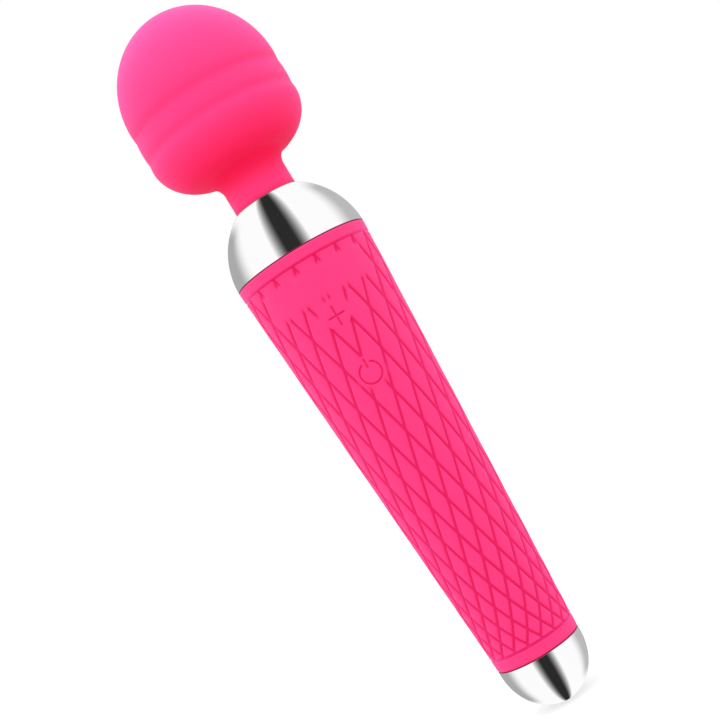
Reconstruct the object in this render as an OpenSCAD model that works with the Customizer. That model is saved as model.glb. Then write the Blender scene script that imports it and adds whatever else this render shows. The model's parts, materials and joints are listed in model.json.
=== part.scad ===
// Handheld wand massager: a silicone head with a vibration motor, a bending neck and a quilted grip.
// The wand's axis is Z with the head up, the keys face -Y, and the origin is the middle of the grip.

/* [Overall] */
// Length of the plated tail cap
tail_length = 14.5; // [13.5:0.5:18]
// Length of the silicone grip sleeve
sleeve_length = 116.5; // [105:0.5:128]
// Height of the plated shoulder collar
collar_height = 17.5; // [17:0.25:19]
// Bare length of the neck between collar and head
neck_length = 10.2; // [9.8:0.1:12]
// Height of the head from its underside to its crown
head_height = 45.8; // [42.2:0.2:52]
// Diameter of the grip at the collar
grip_top_d = 37.4; // [34:0.2:41]
// Diameter of the grip at the tail cap
grip_tail_d = 23.4; // [21.2:0.2:26]
// Diameter of the neck
neck_d = 17.6; // [16:0.2:19]
// Diameter of the head
head_d = 43.4; // [43.2:0.2:47]

/* [Head] */
// Height of the crown dome above its widest circle
dome_height = 23.2; // [22.8:0.2:24.4]
// Height of the rounded underside below its widest circle
bulge_height = 11.3; // [10.8:0.1:12.2]
// Thickness of the silicone head cover
head_wall = 2.9; // [2.5:0.1:3]
// Radius of the fillet between neck and head
head_fillet = 2; // [1.2:0.1:2.4]
// Depth of the two soft rings round the head
head_ring_depth = 0.3; // [0.2:0.05:0.8]
// Half width of each soft ring
head_ring_width = 1.5; // [0.8:0.1:1.6]
// Height of the lower ring above the head's underside
head_ring_height = 13; // [12.5:0.1:16]
// Height of the upper ring above the lower one
head_ring_step = 6.8; // [5:0.1:7.5]
// Wall of the head's hard core
core_wall = 2; // [1.6:0.1:2.1]
// Clearance between the head cover and its core
core_gap = 0.1; // [0.05:0.05:0.2]
// Radius of the screw bosses in the head's core
core_boss_r = 2.3; // [2.2:0.05:2.4]

/* [Neck] */
// Wall of the silicone neck
neck_wall = 2.1; // [1.8:0.1:2.3]
// Outer diameter of the neck spring
spring_d = 10.6; // [9.6:0.1:12]
// Wire diameter of the neck spring
spring_wire = 1.4; // [1.2:0.1:1.5]
// Turns of the neck spring
spring_turns = 9; // [7:1:10]
// Flange diameter of the two spring anchors
anchor_flange_d = 15; // [14.4:0.2:15.4]
// Flange thickness of the two spring anchors
anchor_flange_t = 1.8; // [1.4:0.1:2]
// Bore of the two spring anchors, for the motor leads
anchor_bore_d = 4.6; // [4.2:0.1:5]
// Free length of spring between the two anchors
spring_free = 8; // [7:0.2:9]
// Clearance between the neck and the collar's mouth
neck_gap = 0.35; // [0.3:0.05:0.5]

/* [Motor] */
// Diameter of the motor can
motor_d = 24; // [22:0.2:24.2]
// Length of the motor can
motor_length = 12.5; // [11:0.5:16]
// Wall of the motor can
motor_wall = 0.8; // [0.6:0.1:1]
// Diameter of the motor shaft
shaft_d = 2; // [1.5:0.1:2.3]
// Diameter of the eccentric weight
weight_d = 20; // [16:0.5:22]
// Thickness of the eccentric weight
weight_t = 5; // [4:0.5:6]
// Radial running clearance of the shaft in its bushes
shaft_gap = 0.03; // [0.02:0.01:0.05]

/* [Grip sleeve] */
// Thickness of the silicone sleeve
sleeve_wall = 1.6; // [1.4:0.1:1.8]
// Clearance between the sleeve and the casing
sleeve_gap = 0.15; // [0.1:0.05:0.25]
// Plain rim above the lattice
rim_top = 3.2; // [2:0.1:5]
// Plain rim below the lattice
rim_tail = 3.5; // [2:0.1:5]
// Diamonds round the grip
lattice_columns = 19; // [15:1:22]
// Half rows of diamonds along the grip
lattice_rows = 14; // [10:2:16]
// Depth of the lattice grooves
groove_depth = 0.45; // [0.2:0.05:0.6]
// Width of the lattice grooves
groove_width = 0.7; // [0.4:0.05:0.9]
// Half angle of the plain panel above the keys
panel_angle = 50; // [40:1:60]
// Drop of the plain panel's upper edge below the collar
panel_start = 5.7; // [5:0.1:7]
// Drop of the plain panel's lower edge below the collar
panel_end = 14; // [12:0.1:15]

/* [Keys] */
// Drop of the plus key below the collar
plus_drop = 18.8; // [18:0.1:20]
// Drop of the power key below the collar
power_drop = 34.9; // [34:0.1:36]
// Diameter of the plus key
plus_d = 6.6; // [6:0.1:7]
// Diameter of the power key
power_d = 7.2; // [6.6:0.1:7.2]
// Clearance round each key in the sleeve
key_gap = 0.3; // [0.2:0.05:0.4]
// Travel of the keys
key_travel = 0.4; // [0.2:0.05:0.45]
// Width of the lines of the key marks
mark_line = 0.6; // [0.4:0.05:0.8]
// Depth of the key marks
mark_depth = 0.3; // [0.2:0.05:0.4]
// Reach of the key marks from their centres
mark_reach = 2.9; // [2:0.1:2.9]
// Diameter of the key plungers
plunger_d = 4.8; // [4:0.1:5.2]
// Clearance round each plunger in the casing
plunger_gap = 0.2; // [0.15:0.05:0.3]

/* [Casing] */
// Wall of the two casing halves
casing_wall = 1.8; // [1.6:0.1:1.9]
// Clearance of the spigots in the collar and the tail cap
spigot_gap = 0.1; // [0.05:0.05:0.2]
// Wall of the collar's dome
collar_wall = 1.6; // [1.4:0.1:1.8]
// Wall of the collar round the casing's spigot
collar_rim = 2.4; // [2.2:0.1:2.6]
// Wall of the tail cap round the casing's spigot
tail_wall = 2.1; // [1.9:0.1:2.2]
// Depth of the tail cap's seat
tail_seat = 6; // [5:0.2:6.4]
// Radius of the casing's front screw bosses
boss_front_r = 2.6; // [2.2:0.1:2.8]
// Radius of the casing's back screw bosses
boss_back_r = 3.2; // [3:0.1:3.3]

/* [Electronics] */
// Diameter of the rechargeable cell
cell_d = 10; // [9:0.2:11]
// Length of the rechargeable cell
cell_length = 44; // [40:0.5:50]
// Width of the circuit board
board_width = 13; // [11:0.5:13.5]
// Length of the circuit board
board_length = 38; // [34:0.5:42]
// Thickness of the circuit board
board_t = 1.2; // [0.8:0.2:1.6]
// Distance of the board's front face from the axis
board_depth = 6.9; // [6.2:0.1:7.6]
// Side of the key switches
switch_size = 6; // [4.5:0.1:6.2]
// Height of the key switches
switch_height = 2.8; // [2.4:0.1:3.1]
// Height of the key switches' stems
stem_height = 0.7; // [0.5:0.05:0.8]
// Diameter of the key switches' stems
stem_d = 3.2; // [2.4:0.1:3.4]
// Diameter of the charge jack
jack_d = 6.4; // [6:0.1:7]
// Length of the charge jack
jack_length = 11; // [10.5:0.5:12]
// Bore of the charge jack
jack_bore_d = 2.6; // [2.4:0.1:2.8]
// Depth of the charge jack's bore
jack_bore_depth = 9.5; // [8:0.5:10]
// Diameter of the flat on the tail cap's tip
tip_flat_d = 5.2; // [4.6:0.1:6]
// Thickness of the tail cap in front of the charge jack
mouth_t = 2; // [1.6:0.1:2.4]
// Diameter of the insulated leads
lead_d = 1.1; // [0.8:0.1:1.2]

/* [Hidden] */
$fn = 64;
eps = 0.01;
fit = 0.02;
grip_top_r = grip_top_d / 2;
grip_tail_r = grip_tail_d / 2;
neck_r = neck_d / 2;
head_r = head_d / 2;
z_top = sleeve_length / 2;
z_tail = -z_top;
z_tip = z_tail - tail_length;
z_collar = z_top + collar_height;
z_head = z_collar + neck_length;
z_crown = z_head + head_height;
// Longer than any piece, for cuts
reach = z_crown - z_tip;
// Clearance of slip fits
slip = 0.1;

// Radius of the grip, of the casing inside it and of the casing's cavity at a height
function grip_r(z) = grip_tail_r + (grip_top_r - grip_tail_r) * (z - z_tail) / sleeve_length;
function casing_r(z) = grip_r(z) - sleeve_wall - sleeve_gap;
function casing_in(z) = casing_r(z) - casing_wall;

// Points of an ellipse's arc, in radius and height
function arc(cr, cz, a, b, from, to, steps) =
    [for (i = [0:steps]) let (t = from + (to - from) * i / steps) [cr + a * cos(t), cz + b * sin(t)]];
function reversed(points) = [for (i = [len(points) - 1:-1:0]) points[i]];
function total(values, i = 0) = i < len(values) ? values[i] + total(values, i + 1) : 0;

// Head outline
z_bulge = z_head + bulge_height;
z_dome = z_crown - dome_height;
z_split = z_head - head_fillet;
z_ring = z_head + head_ring_height;
waist_steps = 24;
underside_start = -80;
function ring_dip(z) = head_ring_depth * total([for (k = [0, 1])
    exp(-pow((z - z_ring - k * head_ring_step) / head_ring_width, 2))]);
head_waist = [for (i = [1:waist_steps - 1]) [head_r, z_bulge + (z_dome - z_bulge) * i / waist_steps]];
head_bare = concat(
    arc(neck_r, z_bulge, head_r - neck_r, bulge_height, underside_start, 0, 18),
    head_waist,
    arc(0, z_dome, head_r, dome_height, 0, 90, 28));
head_outline = concat(
    arc(neck_r + head_fillet, z_split, head_fillet, head_fillet, 180, 90, 8),
    [for (p = head_bare) [max(0, p[0] - ring_dip(p[1])), p[1]]]);
// The head's outline drawn in by a wall, from the neck to the crown
function head_inset(off) = concat(
    arc(neck_r, z_bulge, head_r - neck_r - off, bulge_height - off, -90, 0, 14),
    arc(0, z_dome, head_r - off, dome_height - off, 0, 90, 22));

// Head core and the pieces in it, from the neck up
core_off = head_wall + core_gap;
core_in_off = core_off + core_wall;
core_lip = 1.7;
core_roof = 1.5;
anchor_play = 0.1;
anchor_slot = anchor_flange_t + 2 * anchor_play;
anchor_r = anchor_flange_d / 2;
lead_room = 2;
bell_t = 2;
bell_spigot = 1.5;
bush_r = 3;
bush_nose = 1.5;
weight_gap = 0.8;
shaft_end = 0.8;
motor_r = motor_d / 2;
motor_gap = 0.05;
rib_t = 2;
rib_inset = 1.5;
shaft_r = shaft_d / 2;
z_core = z_head + core_off;
z_core_slot = z_core + core_lip;
z_floor = z_core_slot + anchor_slot + core_roof;
z_bell = z_floor + lead_room;
z_can = z_bell + bell_t;
z_can_top = z_can + motor_length;
z_weight = z_can_top + bush_nose + weight_gap;
z_shaft_top = z_weight + weight_t + shaft_end;
core_screw_x = motor_r + motor_gap + core_boss_r + slip;
core_boss_sink = 0.6;
core_screws_at = [
    [-core_screw_x, (z_can + z_can_top) / 2],
    [core_screw_x, (z_can + z_can_top) / 2],
    [0, z_crown - core_in_off - core_boss_r + core_boss_sink]];
core_screw_r = 0.85;
core_head_r = 1.6;
core_head_t = 1.2;
core_seat = 4;
core_screw_reach = 4;
hole_extra = 0.5;
commutator_r = 2.6;
commutator_t = 1.4;
magnet_t = 1.5;
magnet_angle = 140;
magnet_inset = 0.2;
magnet_r = motor_r - motor_wall - slip;
air_gap = 0.4;
armature_r = magnet_r - magnet_t - air_gap;
armature_slot = 1.6;
armature_slot_start = 2.4;
armature_rise = 0.6;
bell_inset = 0.2;
bush_floor = 0.5;
hub_wall = 2;
tab_x = 5;
tab_size = [0.6, 2.2, 1.6];
brush_size = [2.4, 1.6, 1.2];
z_armature = z_can + bell_spigot + commutator_t + armature_rise;
z_armature_top = z_can_top - motor_wall - air_gap;

// Collar, casing tower and neck
seat_play = 0.3;
collar_b = collar_height / sqrt(1 - pow((neck_r + neck_gap) / grip_top_r, 2));
collar_mouth_r = neck_r + neck_gap;
collar_in_a = grip_top_r - collar_wall;
collar_in_b = collar_b - collar_wall;
collar_seat_r = grip_top_r - collar_rim;
function collar_in_h(r) = collar_in_b * sqrt(1 - pow(r / collar_in_a, 2));
collar_seat_h = collar_in_h(collar_seat_r);
top_spigot_r = collar_seat_r - spigot_gap;
top_spigot_h = collar_seat_h - seat_play;
neck_bore_r = neck_r - neck_wall;
neck_flange_w = 1.5;
neck_flange_r = neck_r + neck_flange_w;
neck_flange_t = 1.2;
tower_r = neck_flange_r;
tower_h = collar_in_h(neck_flange_r) - neck_flange_t - seat_play;
tower_lip = 2.7;
roof_t = 2;
spring_r = spring_d / 2;
spring_room = 0.5;
spring_seat = 0.05;
anchor_bore_r = anchor_bore_d / 2;
anchor_stem_r = spring_r - spring_wire - seat_play;
z_slot = z_top + tower_h - tower_lip - anchor_slot;
stem_rise = 0.4;
z_stem_low = (z_collar + z_split) / 2 - spring_free / 2 + stem_rise;
z_stem_high = z_stem_low + spring_free;
spring_rings = 16;
spring_sides = 6;

// Tail cap and charge jack
tail_rim = 1.2;
tip_flat_r = tip_flat_d / 2;
tail_c = z_tail - tail_rim;
tail_b = (tail_length - tail_rim) / sqrt(1 - pow(tip_flat_r / grip_tail_r, 2));
tail_seat_r = grip_tail_r - tail_wall;
tail_spigot_r = tail_seat_r - spigot_gap;
z_seat = z_tail - tail_seat;
z_pocket = z_tip + mouth_t;
jack_r = jack_d / 2;
jack_flange_w = 1.3;
jack_flange_r = jack_r + jack_flange_w;
jack_flange_t = 1.2;
clamp_t = 1.5;
z_clamp = z_seat + jack_flange_t + slip;
z_jack_top = z_pocket + jack_length;
contact_x = 1.6;
contact_size = [0.8, 0.5, 1.2];

// Places along the grip
z_plus = z_top - plus_drop;
z_power = z_top - power_drop;
z_keys = (z_plus + z_power) / 2;
tail_screw_rise = 8;
cell_rise = 14;
z_cell = z_tail + cell_rise;
z_cell_top = z_cell + cell_length;
z_board = z_keys - board_length / 2;
board_back = board_depth - board_t;
board_screw_step = 6;
board_screws_at = [z_power - board_screw_step, z_plus + board_screw_step];
board_post_r = 2.2;
board_screw_r = 0.8;
board_head_r = 1.9;
board_head_t = 1.2;
board_screw_reach = 3.2;
cell_nub_r = 2.6;
cell_nub_h = 0.8;
cell_gap = 0.15;
cradle_t = 1.5;
cell_r = cell_d / 2;
cradle_inset = 6;
screw_r = 1;
screw_gap = 0.2;
screw_head_r = 2.1;
screw_head_t = 1.4;
screw_seat = 5;
screw_reach = 6;
cavity_rise = 1;
cavity_drop = 2;
board_side = 0.5;
casing_screw_x = board_width / 2 + boss_front_r + board_side;
casing_screw_drop = 8.5;
casing_screw_fall = 3.4;
casing_screws_at = [
    [-casing_screw_x, z_top - casing_screw_drop],
    [casing_screw_x, z_top - casing_screw_drop],
    [-casing_screw_x, z_power - casing_screw_fall],
    [casing_screw_x, z_power - casing_screw_fall],
    [0, z_tail + tail_screw_rise]];
connector_size = [5, 3.4, 3.5];
plug_y = connector_size[1] / 2 - board_back;
plug_half = connector_size[2] / 2;
pin_x = 1.2;
chip_size = [4, 1.6, 5];
led_size = [2, 1.2, 3];
lead_r = lead_d / 2;
lead_half = 0.8;
lead_clear = 0.3;
lead_out = cell_r + lead_clear + lead_r;
lead_apart = lead_d + 2 * lead_clear - slip;
lead_over_y = board_head_t + lead_clear + lead_r - board_back;
plunger_r = plunger_d / 2;
plunger_flange_r = 3.2;
plunger_flange_t = 0.6;
plunger_stub_r = 1.6;
key_play = 0.15;
key_room = 0.75;
stem_depth = 1;
power_mark_drop = 0.5;
power_mark_open = 60;
stem_y = board_depth + switch_height + stem_height;
// Face of a plunger's flange that rests under the casing's front wall
function flange_y(z) =
    sqrt(pow(casing_in(z - plunger_flange_r), 2) - pow(plunger_flange_r, 2)) - key_play;

// Shared shapes
module tube(r_out, r_in, z0, z1) {
    translate([0, 0, z0])
        difference() {
            cylinder(r = r_out, h = z1 - z0);
            translate([0, 0, -1])
                cylinder(r = r_in, h = z1 - z0 + 2);
        }
}

// A rod along Y from y0 to y1
module rod(x, z, y0, y1, r) {
    translate([x, y1, z])
        rotate([90, 0, 0])
            cylinder(r = r, h = y1 - y0);
}

module box(size, at) {
    translate(at - [size[0] / 2, size[1] / 2, 0])
        cube(size);
}

// The half of space in front of or behind the parting plane
module half(side) {
    translate([-reach, side < 0 ? -reach : 0, -reach])
        cube([2 * reach, reach, 2 * reach]);
}

module screw(x, z, seat, point, r, head_r, head_t) {
    rod(x, z, point, seat + eps, r);
    rod(x, z, seat, seat + head_t, head_r);
}

// A round bar swept along points, with triangles for faces
function unit(v) = v / norm(v);
function way(points, i) =
    i == 0 ? points[1] - points[0]
    : i == len(points) - 1 ? points[i] - points[i - 1]
    : unit(points[i + 1] - points[i - 1])
        * min(norm(points[i + 1] - points[i]), norm(points[i] - points[i - 1]));
function curve(a, b, way_a, way_b, t) = a + t * t * (3 - 2 * t) * (b - a)
    + t * (1 - t) * ((1 - t) * way_a - t * way_b);
function smooth(points, steps) = concat(
    [for (i = [0:len(points) - 2]) for (j = [0:steps - 1])
        curve(points[i], points[i + 1], way(points, i), way(points, i + 1), j / steps)],
    [points[len(points) - 1]]);
function heading(path, i) = unit(path[min(i + 1, len(path) - 1)] - path[max(i - 1, 0)]);
module sweep(path, r, sides, side_of) {
    last = len(path) - 1;
    points = [for (i = [0:last]) let (t = heading(path, i), u = unit(cross(t, side_of)), v = cross(t, u))
        for (k = [0:sides - 1]) let (a = 360 * k / sides) path[i] + r * (cos(a) * u + sin(a) * v)];
    skin = [for (i = [0:last - 1]) for (k = [0:sides - 1]) let (n = (k + 1) % sides, a = i * sides)
        for (f = [[a + k, a + sides + k, a + n], [a + n, a + sides + k, a + sides + n]]) f];
    ends = [for (k = [1:sides - 2]) for (f = [[0, k, k + 1],
        [last * sides, last * sides + k + 1, last * sides + k]]) f];
    polyhedron(points, concat(skin, ends));
}

lead_sides = 8;
lead_steps = 4;
module lead(points) {
    sweep(smooth(points, lead_steps), lead_r, lead_sides, [0.2, 1, 0.1]);
}

// Head
module head_cover() {
    color("hotpink")
        rotate_extrude()
            polygon(concat(head_outline, reversed(head_inset(head_wall)),
                [[neck_bore_r, z_head + head_wall], [neck_bore_r, z_split]]));
}

module core_solid(off) {
    rotate_extrude()
        polygon(concat([[0, z_head + off]], head_inset(off)));
}

module core_cavity() {
    b = bulge_height - core_in_off;
    rotate_extrude()
        polygon(concat(
            [[0, z_floor]],
            arc(neck_r, z_bulge, head_r - neck_r - core_in_off, b, asin((z_floor - z_bulge) / b), 0, 8),
            arc(0, z_dome, head_r - core_in_off, dome_height - core_in_off, 0, 90, 22)));
}

module core_half(side) {
    rib_r = motor_r + motor_gap;
    intersection() {
        difference() {
            core_solid(core_off);
            core_cavity();
            translate([0, 0, z_core - 1])
                cylinder(r = spring_r + spring_room, h = core_lip + 2);
            translate([0, 0, z_core_slot])
                cylinder(r = anchor_r + anchor_play, h = anchor_slot);
            translate([0, 0, z_core_slot])
                cylinder(r = anchor_bore_r + slip, h = anchor_slot + core_roof + 1);
        }
        half(side);
    }
    intersection() {
        union() {
            tube(head_r, rib_r, z_can + rib_inset, z_can + rib_inset + rib_t);
            tube(head_r, rib_r, z_can_top - rib_inset - rib_t, z_can_top - rib_inset);
            for (at = core_screws_at)
                rod(at[0], at[1], side < 0 ? -head_r : 0, side < 0 ? 0 : head_r, core_boss_r);
        }
        core_solid(core_off + core_wall / 2);
        half(side);
    }
}

module head_core_front() {
    color("ivory")
        difference() {
            core_half(-1);
            for (at = core_screws_at)
                rod(at[0], at[1], -core_screw_reach - hole_extra, 1, core_screw_r + fit);
        }
}

module head_core_back() {
    color("ivory")
        difference() {
            core_half(1);
            for (at = core_screws_at) {
                rod(at[0], at[1], -1, head_r, core_screw_r + slip);
                rod(at[0], at[1], core_seat, head_r, core_head_r + slip);
            }
        }
}

module head_core_screws() {
    color("silver")
        for (at = core_screws_at)
            screw(at[0], at[1], core_seat, -core_screw_reach, core_screw_r, core_head_r, core_head_t);
}

module anchor(z_flange, z_end) {
    low = min(z_flange, z_end);
    high = max(z_flange + anchor_flange_t, z_end);
    difference() {
        union() {
            translate([0, 0, z_flange])
                cylinder(r = anchor_r, h = anchor_flange_t);
            translate([0, 0, low])
                cylinder(r = anchor_stem_r, h = high - low);
        }
        translate([0, 0, low - 1])
            cylinder(r = anchor_bore_r, h = high - low + 2);
    }
}

module head_anchor() {
    color("goldenrod")
        anchor(z_core_slot + anchor_play, z_stem_high);
}

// Motor
module motor_can() {
    color("gainsboro")
        difference() {
            translate([0, 0, z_can])
                cylinder(r = motor_r, h = motor_length);
            translate([0, 0, z_can - 1])
                cylinder(r = motor_r - motor_wall, h = motor_length - motor_wall + 1);
            translate([0, 0, z_can])
                cylinder(r = bush_r + fit, h = motor_length + 1);
        }
}

module motor_end_bell() {
    color("dimgray")
        difference() {
            union() {
                translate([0, 0, z_bell])
                    cylinder(r = motor_r - bell_inset, h = bell_t);
                translate([0, 0, z_can - eps])
                    cylinder(r = motor_r - motor_wall - slip, h = bell_spigot + eps);
            }
            translate([0, 0, z_bell + bush_floor])
                cylinder(r = bush_r + fit, h = bell_t + bell_spigot);
        }
}

module motor_terminals() {
    color("gold")
        for (s = [-1, 1])
            box(tab_size, [s * (tab_x + tab_size[0] / 2), 0, z_bell - tab_size[2]]);
}

module motor_brushes() {
    color("peru")
        for (s = [-1, 1])
            box(brush_size, [s * (commutator_r + slip + brush_size[0] / 2), 0, z_can + bell_spigot]);
}

module motor_magnets() {
    z0 = z_armature + magnet_inset;
    color("gray")
        for (s = [0, 180])
            translate([0, 0, z0])
                rotate([0, 0, s - magnet_angle / 2])
                    rotate_extrude(angle = magnet_angle)
                        translate([magnet_r - magnet_t, 0])
                            square([magnet_t, z_armature_top - magnet_inset - z0]);
}

module motor_bushes() {
    color("darkgoldenrod") {
        tube(bush_r, shaft_r + shaft_gap, z_can_top - motor_wall, z_can_top + bush_nose);
        tube(bush_r, shaft_r + shaft_gap, z_bell + bush_floor, z_can + bell_spigot - slip);
    }
}

module motor_leads_head() {
    z_tab = z_bell - tab_size[2] / 2;
    color("firebrick")
        for (s = [-1, 1])
            lead([
                [s * lead_half, 0, z_stem_high],
                [s * lead_half, 0, z_floor - lead_d],
                [s * 2 * lead_half, 0, z_floor + lead_r],
                [s * (tab_x - slip - 2 * lead_half), 0, z_tab],
                [s * (tab_x - slip), 0, z_tab]]);
}

module motor_shaft() {
    color("silver")
        translate([0, 0, z_bell + bush_floor + slip])
            cylinder(r = shaft_r, h = z_shaft_top - z_bell - bush_floor - slip);
}

module motor_armature() {
    color("saddlebrown")
        translate([0, 0, z_armature])
            linear_extrude(z_armature_top - z_armature)
                difference() {
                    circle(r = armature_r);
                    circle(r = shaft_r + fit);
                    for (k = [0:2])
                        rotate(120 * k)
                            translate([armature_slot_start, -armature_slot / 2])
                                square([armature_r, armature_slot]);
                }
}

module motor_commutator() {
    z0 = z_can + bell_spigot + slip;
    color("peru")
        tube(commutator_r, shaft_r + fit, z0, z0 + commutator_t);
}

module eccentric_weight() {
    hub_r = shaft_r + hub_wall;
    color("slategray")
        translate([0, 0, z_weight])
            linear_extrude(weight_t)
                difference() {
                    union() {
                        intersection() {
                            circle(d = weight_d);
                            translate([-weight_d, -weight_d])
                                square([2 * weight_d, weight_d]);
                        }
                        circle(r = hub_r);
                    }
                    circle(r = shaft_r + fit);
                }
}

// Neck
module neck_spring() {
    r = spring_r - spring_wire / 2;
    z0 = z_slot + anchor_play + anchor_flange_t + spring_wire / 2 + spring_seat;
    z1 = z_core_slot + anchor_play - spring_wire / 2 - spring_seat;
    count = spring_turns * spring_rings;
    path = [for (i = [0:count]) let (a = 360 * i / spring_rings)
        [r * cos(a), r * sin(a), z0 + (z1 - z0) * i / count]];
    echo(least_gap = (z1 - z0) / spring_turns - spring_wire);
    color("silver")
        sweep(path, spring_wire / 2, spring_sides, [0, 0, 1]);
}

module neck_sleeve() {
    z0 = z_top + tower_h;
    color("hotpink")
        rotate_extrude()
            polygon([
                [neck_bore_r, z0],
                [neck_flange_r, z0],
                [neck_flange_r, z0 + neck_flange_t],
                [neck_r, z0 + neck_flange_t],
                [neck_r, z_split],
                [neck_bore_r, z_split]]);
}

module motor_leads_neck() {
    color("firebrick")
        for (s = [-1, 1])
            translate([s * lead_half, 0, z_stem_low])
                cylinder(r = lead_r, h = spring_free);
}

module neck_anchor() {
    color("goldenrod")
        anchor(z_slot + anchor_play, z_stem_low);
}

// Handle
module shoulder_collar() {
    color("silver")
        rotate_extrude()
            polygon(concat(
                arc(0, z_top, grip_top_r, collar_b, 0, acos(collar_mouth_r / grip_top_r), 24),
                arc(0, z_top, collar_in_a, collar_in_b, acos(collar_mouth_r / collar_in_a),
                    acos(collar_seat_r / collar_in_a), 18),
                [[collar_seat_r, z_top]]));
}

// Grip lattice: rows of points round the grip, groove crossings and diamond centres in turn
row_linear = 0.94;
row_square = 1.6;
row_cube = -2.46;
lattice_span = sleeve_length - rim_top - rim_tail;
function row_share(x) = row_linear * x + row_square * x * x + row_cube * x * x * x
    + (1 - row_linear - row_square - row_cube) * x * x * x * x;
function row_z(n) = z_top - rim_top - lattice_span * row_share(n / lattice_rows);
places = 2 * lattice_columns;
function place_angle(k) = 360 * k / places;
function on_grip(angle, r, z) = [r * sin(angle), -r * cos(angle), z];
function wrapped(angle) = angle > 180 ? angle - 360 : angle;
function in_panel(angle, drop) =
    abs(wrapped(angle)) < panel_angle && drop > panel_start && drop < panel_end ? 1 : 0;
function near_key(angle, z, z_key, r) =
    norm([grip_r(z) * wrapped(angle) * PI / 180, z - z_key]) < r + groove_width ? 1 : 0;
function groove_at(k, z) =
    let (angle = place_angle(k),
        bare = in_panel(angle, z_top - z) + near_key(angle, z, z_plus, plus_d / 2)
            + near_key(angle, z, z_power, power_d / 2))
    bare > 0 ? 0 : groove_depth;
function ring_points(r, z) = [for (k = [0:places - 1]) on_grip(place_angle(k), r, z)];

// Corners of the diamond round place k of row n, as place and height: side, up, side, down
function corners(n, k) = [
    [k - 1, row_z(n)],
    [k, row_z(max(n - 1, 0))],
    [k + 1, row_z(n)],
    [k, row_z(min(n + 1, lattice_rows))]];
function centre_z(n, k) = (row_z(max(n - 1, 0)) + row_z(min(n + 1, lattice_rows))
    + (n == 0 || n == lattice_rows ? row_z(n) : (row_z(n - 1) + row_z(n + 1)) / 2)) / 3;
function inset_share(n) =
    let (a = grip_r(row_z(n)) * PI / lattice_columns,
        b = (row_z(max(n - 1, 0)) - row_z(min(n + 1, lattice_rows))) / 2,
        edge = n == 0 || n == lattice_rows ? a * 2 * b / (a + norm([a, 2 * b])) : a * b / norm([a, b]))
    1 - groove_width / 2 / edge;

lattice_points = [for (n = [0:lattice_rows]) for (k = [0:places - 1]) let (z = row_z(n))
    on_grip(place_angle(k), grip_r(z) - groove_at(k, z), z)];
pad_points = [for (n = [0:lattice_rows]) for (k = [0:places - 1]) let (z = centre_z(n, k))
    on_grip(place_angle(k), grip_r(z), z)];
pad_corners = [for (n = [0:lattice_rows]) for (k = [0:places - 1]) for (c = corners(n, k))
    let (s = inset_share(n), z = centre_z(n, k) + s * (c[1] - centre_z(n, k)))
    on_grip(place_angle(k + s * (c[0] - k)), grip_r(z), z)];
rim_z = [row_z(0) + groove_width, z_top, z_top, z_tail, z_tail, row_z(lattice_rows) - groove_width];
rim_in = [0, 0, sleeve_wall, sleeve_wall, 0, 0];
rim_points = [for (i = [0:5]) for (p = ring_points(grip_r(rim_z[i]) - rim_in[i], rim_z[i])) p];
pad_base = len(lattice_points);
corner_base = pad_base + len(pad_points);
rim_base = corner_base + len(pad_corners);
function at_lattice(n, k) = n * places + (k + places) % places;
function at_corner(n, k, c) = corner_base + 4 * (n * places + k) + c % 4;
function at_rim(i, k) = rim_base + i * places + k % places;
function at_band(i, k) = i < 0 ? at_lattice(0, k) : i > 5 ? at_lattice(lattice_rows, k) : at_rim(i, k);
function cell_corners(n, k) = [
    at_lattice(n, k - 1),
    at_lattice(max(n - 1, 0), k),
    at_lattice(n, k + 1),
    at_lattice(min(n + 1, lattice_rows), k)];
lattice_faces = [for (n = [0:lattice_rows]) for (k = [0:places - 1]) if ((n + k) % 2 == 0)
    let (v = cell_corners(n, k)) for (c = [0:3])
        for (f = [
            [v[c], v[(c + 1) % 4], at_corner(n, k, c + 1)],
            [v[c], at_corner(n, k, c + 1), at_corner(n, k, c)],
            [at_corner(n, k, c), at_corner(n, k, c + 1), pad_base + n * places + k]]) f];
rim_faces = [for (i = [-1:5]) for (k = [0:places - 1])
    for (f = [
        [at_band(i, k), at_band(i + 1, k), at_band(i + 1, k + 1)],
        [at_band(i, k), at_band(i + 1, k + 1), at_band(i, k + 1)]]) f];

module handle_sleeve() {
    color("deeppink")
        difference() {
            polyhedron(concat(lattice_points, pad_points, pad_corners, rim_points),
                concat(lattice_faces, rim_faces));
            rod(0, z_plus, -reach, -board_depth, plus_d / 2 + key_gap);
            rod(0, z_power, -reach, -board_depth, power_d / 2 + key_gap);
        }
}

module casing_solid() {
    rotate_extrude()
        polygon([
            [0, z_seat + seat_play],
            [tail_spigot_r, z_seat + seat_play],
            [tail_spigot_r, z_tail],
            [casing_r(z_tail), z_tail],
            [casing_r(z_top), z_top],
            [top_spigot_r, z_top],
            [top_spigot_r, z_top + top_spigot_h],
            [tower_r, z_top + top_spigot_h + roof_t],
            [tower_r, z_top + tower_h],
            [0, z_top + tower_h]]);
}

module casing_cavity() {
    low_r = tail_spigot_r - casing_wall;
    high_r = top_spigot_r - casing_wall;
    z_low = z_tail + cavity_rise;
    z_high = z_top - cavity_drop;
    rotate_extrude()
        polygon([
            [0, z_seat - 1],
            [low_r, z_seat - 1],
            [low_r, z_low],
            [casing_in(z_low), z_low],
            [casing_in(z_high), z_high],
            [high_r, z_high],
            [high_r, z_top + top_spigot_h - roof_t],
            [0, z_top + top_spigot_h - roof_t]]);
    translate([0, 0, z_slot])
        cylinder(r = anchor_r + anchor_play, h = anchor_slot);
    translate([0, 0, z_top])
        cylinder(r = anchor_stem_r + spring_room, h = tower_h);
    translate([0, 0, z_slot])
        cylinder(r = spring_r + spring_room, h = reach);
}

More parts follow.
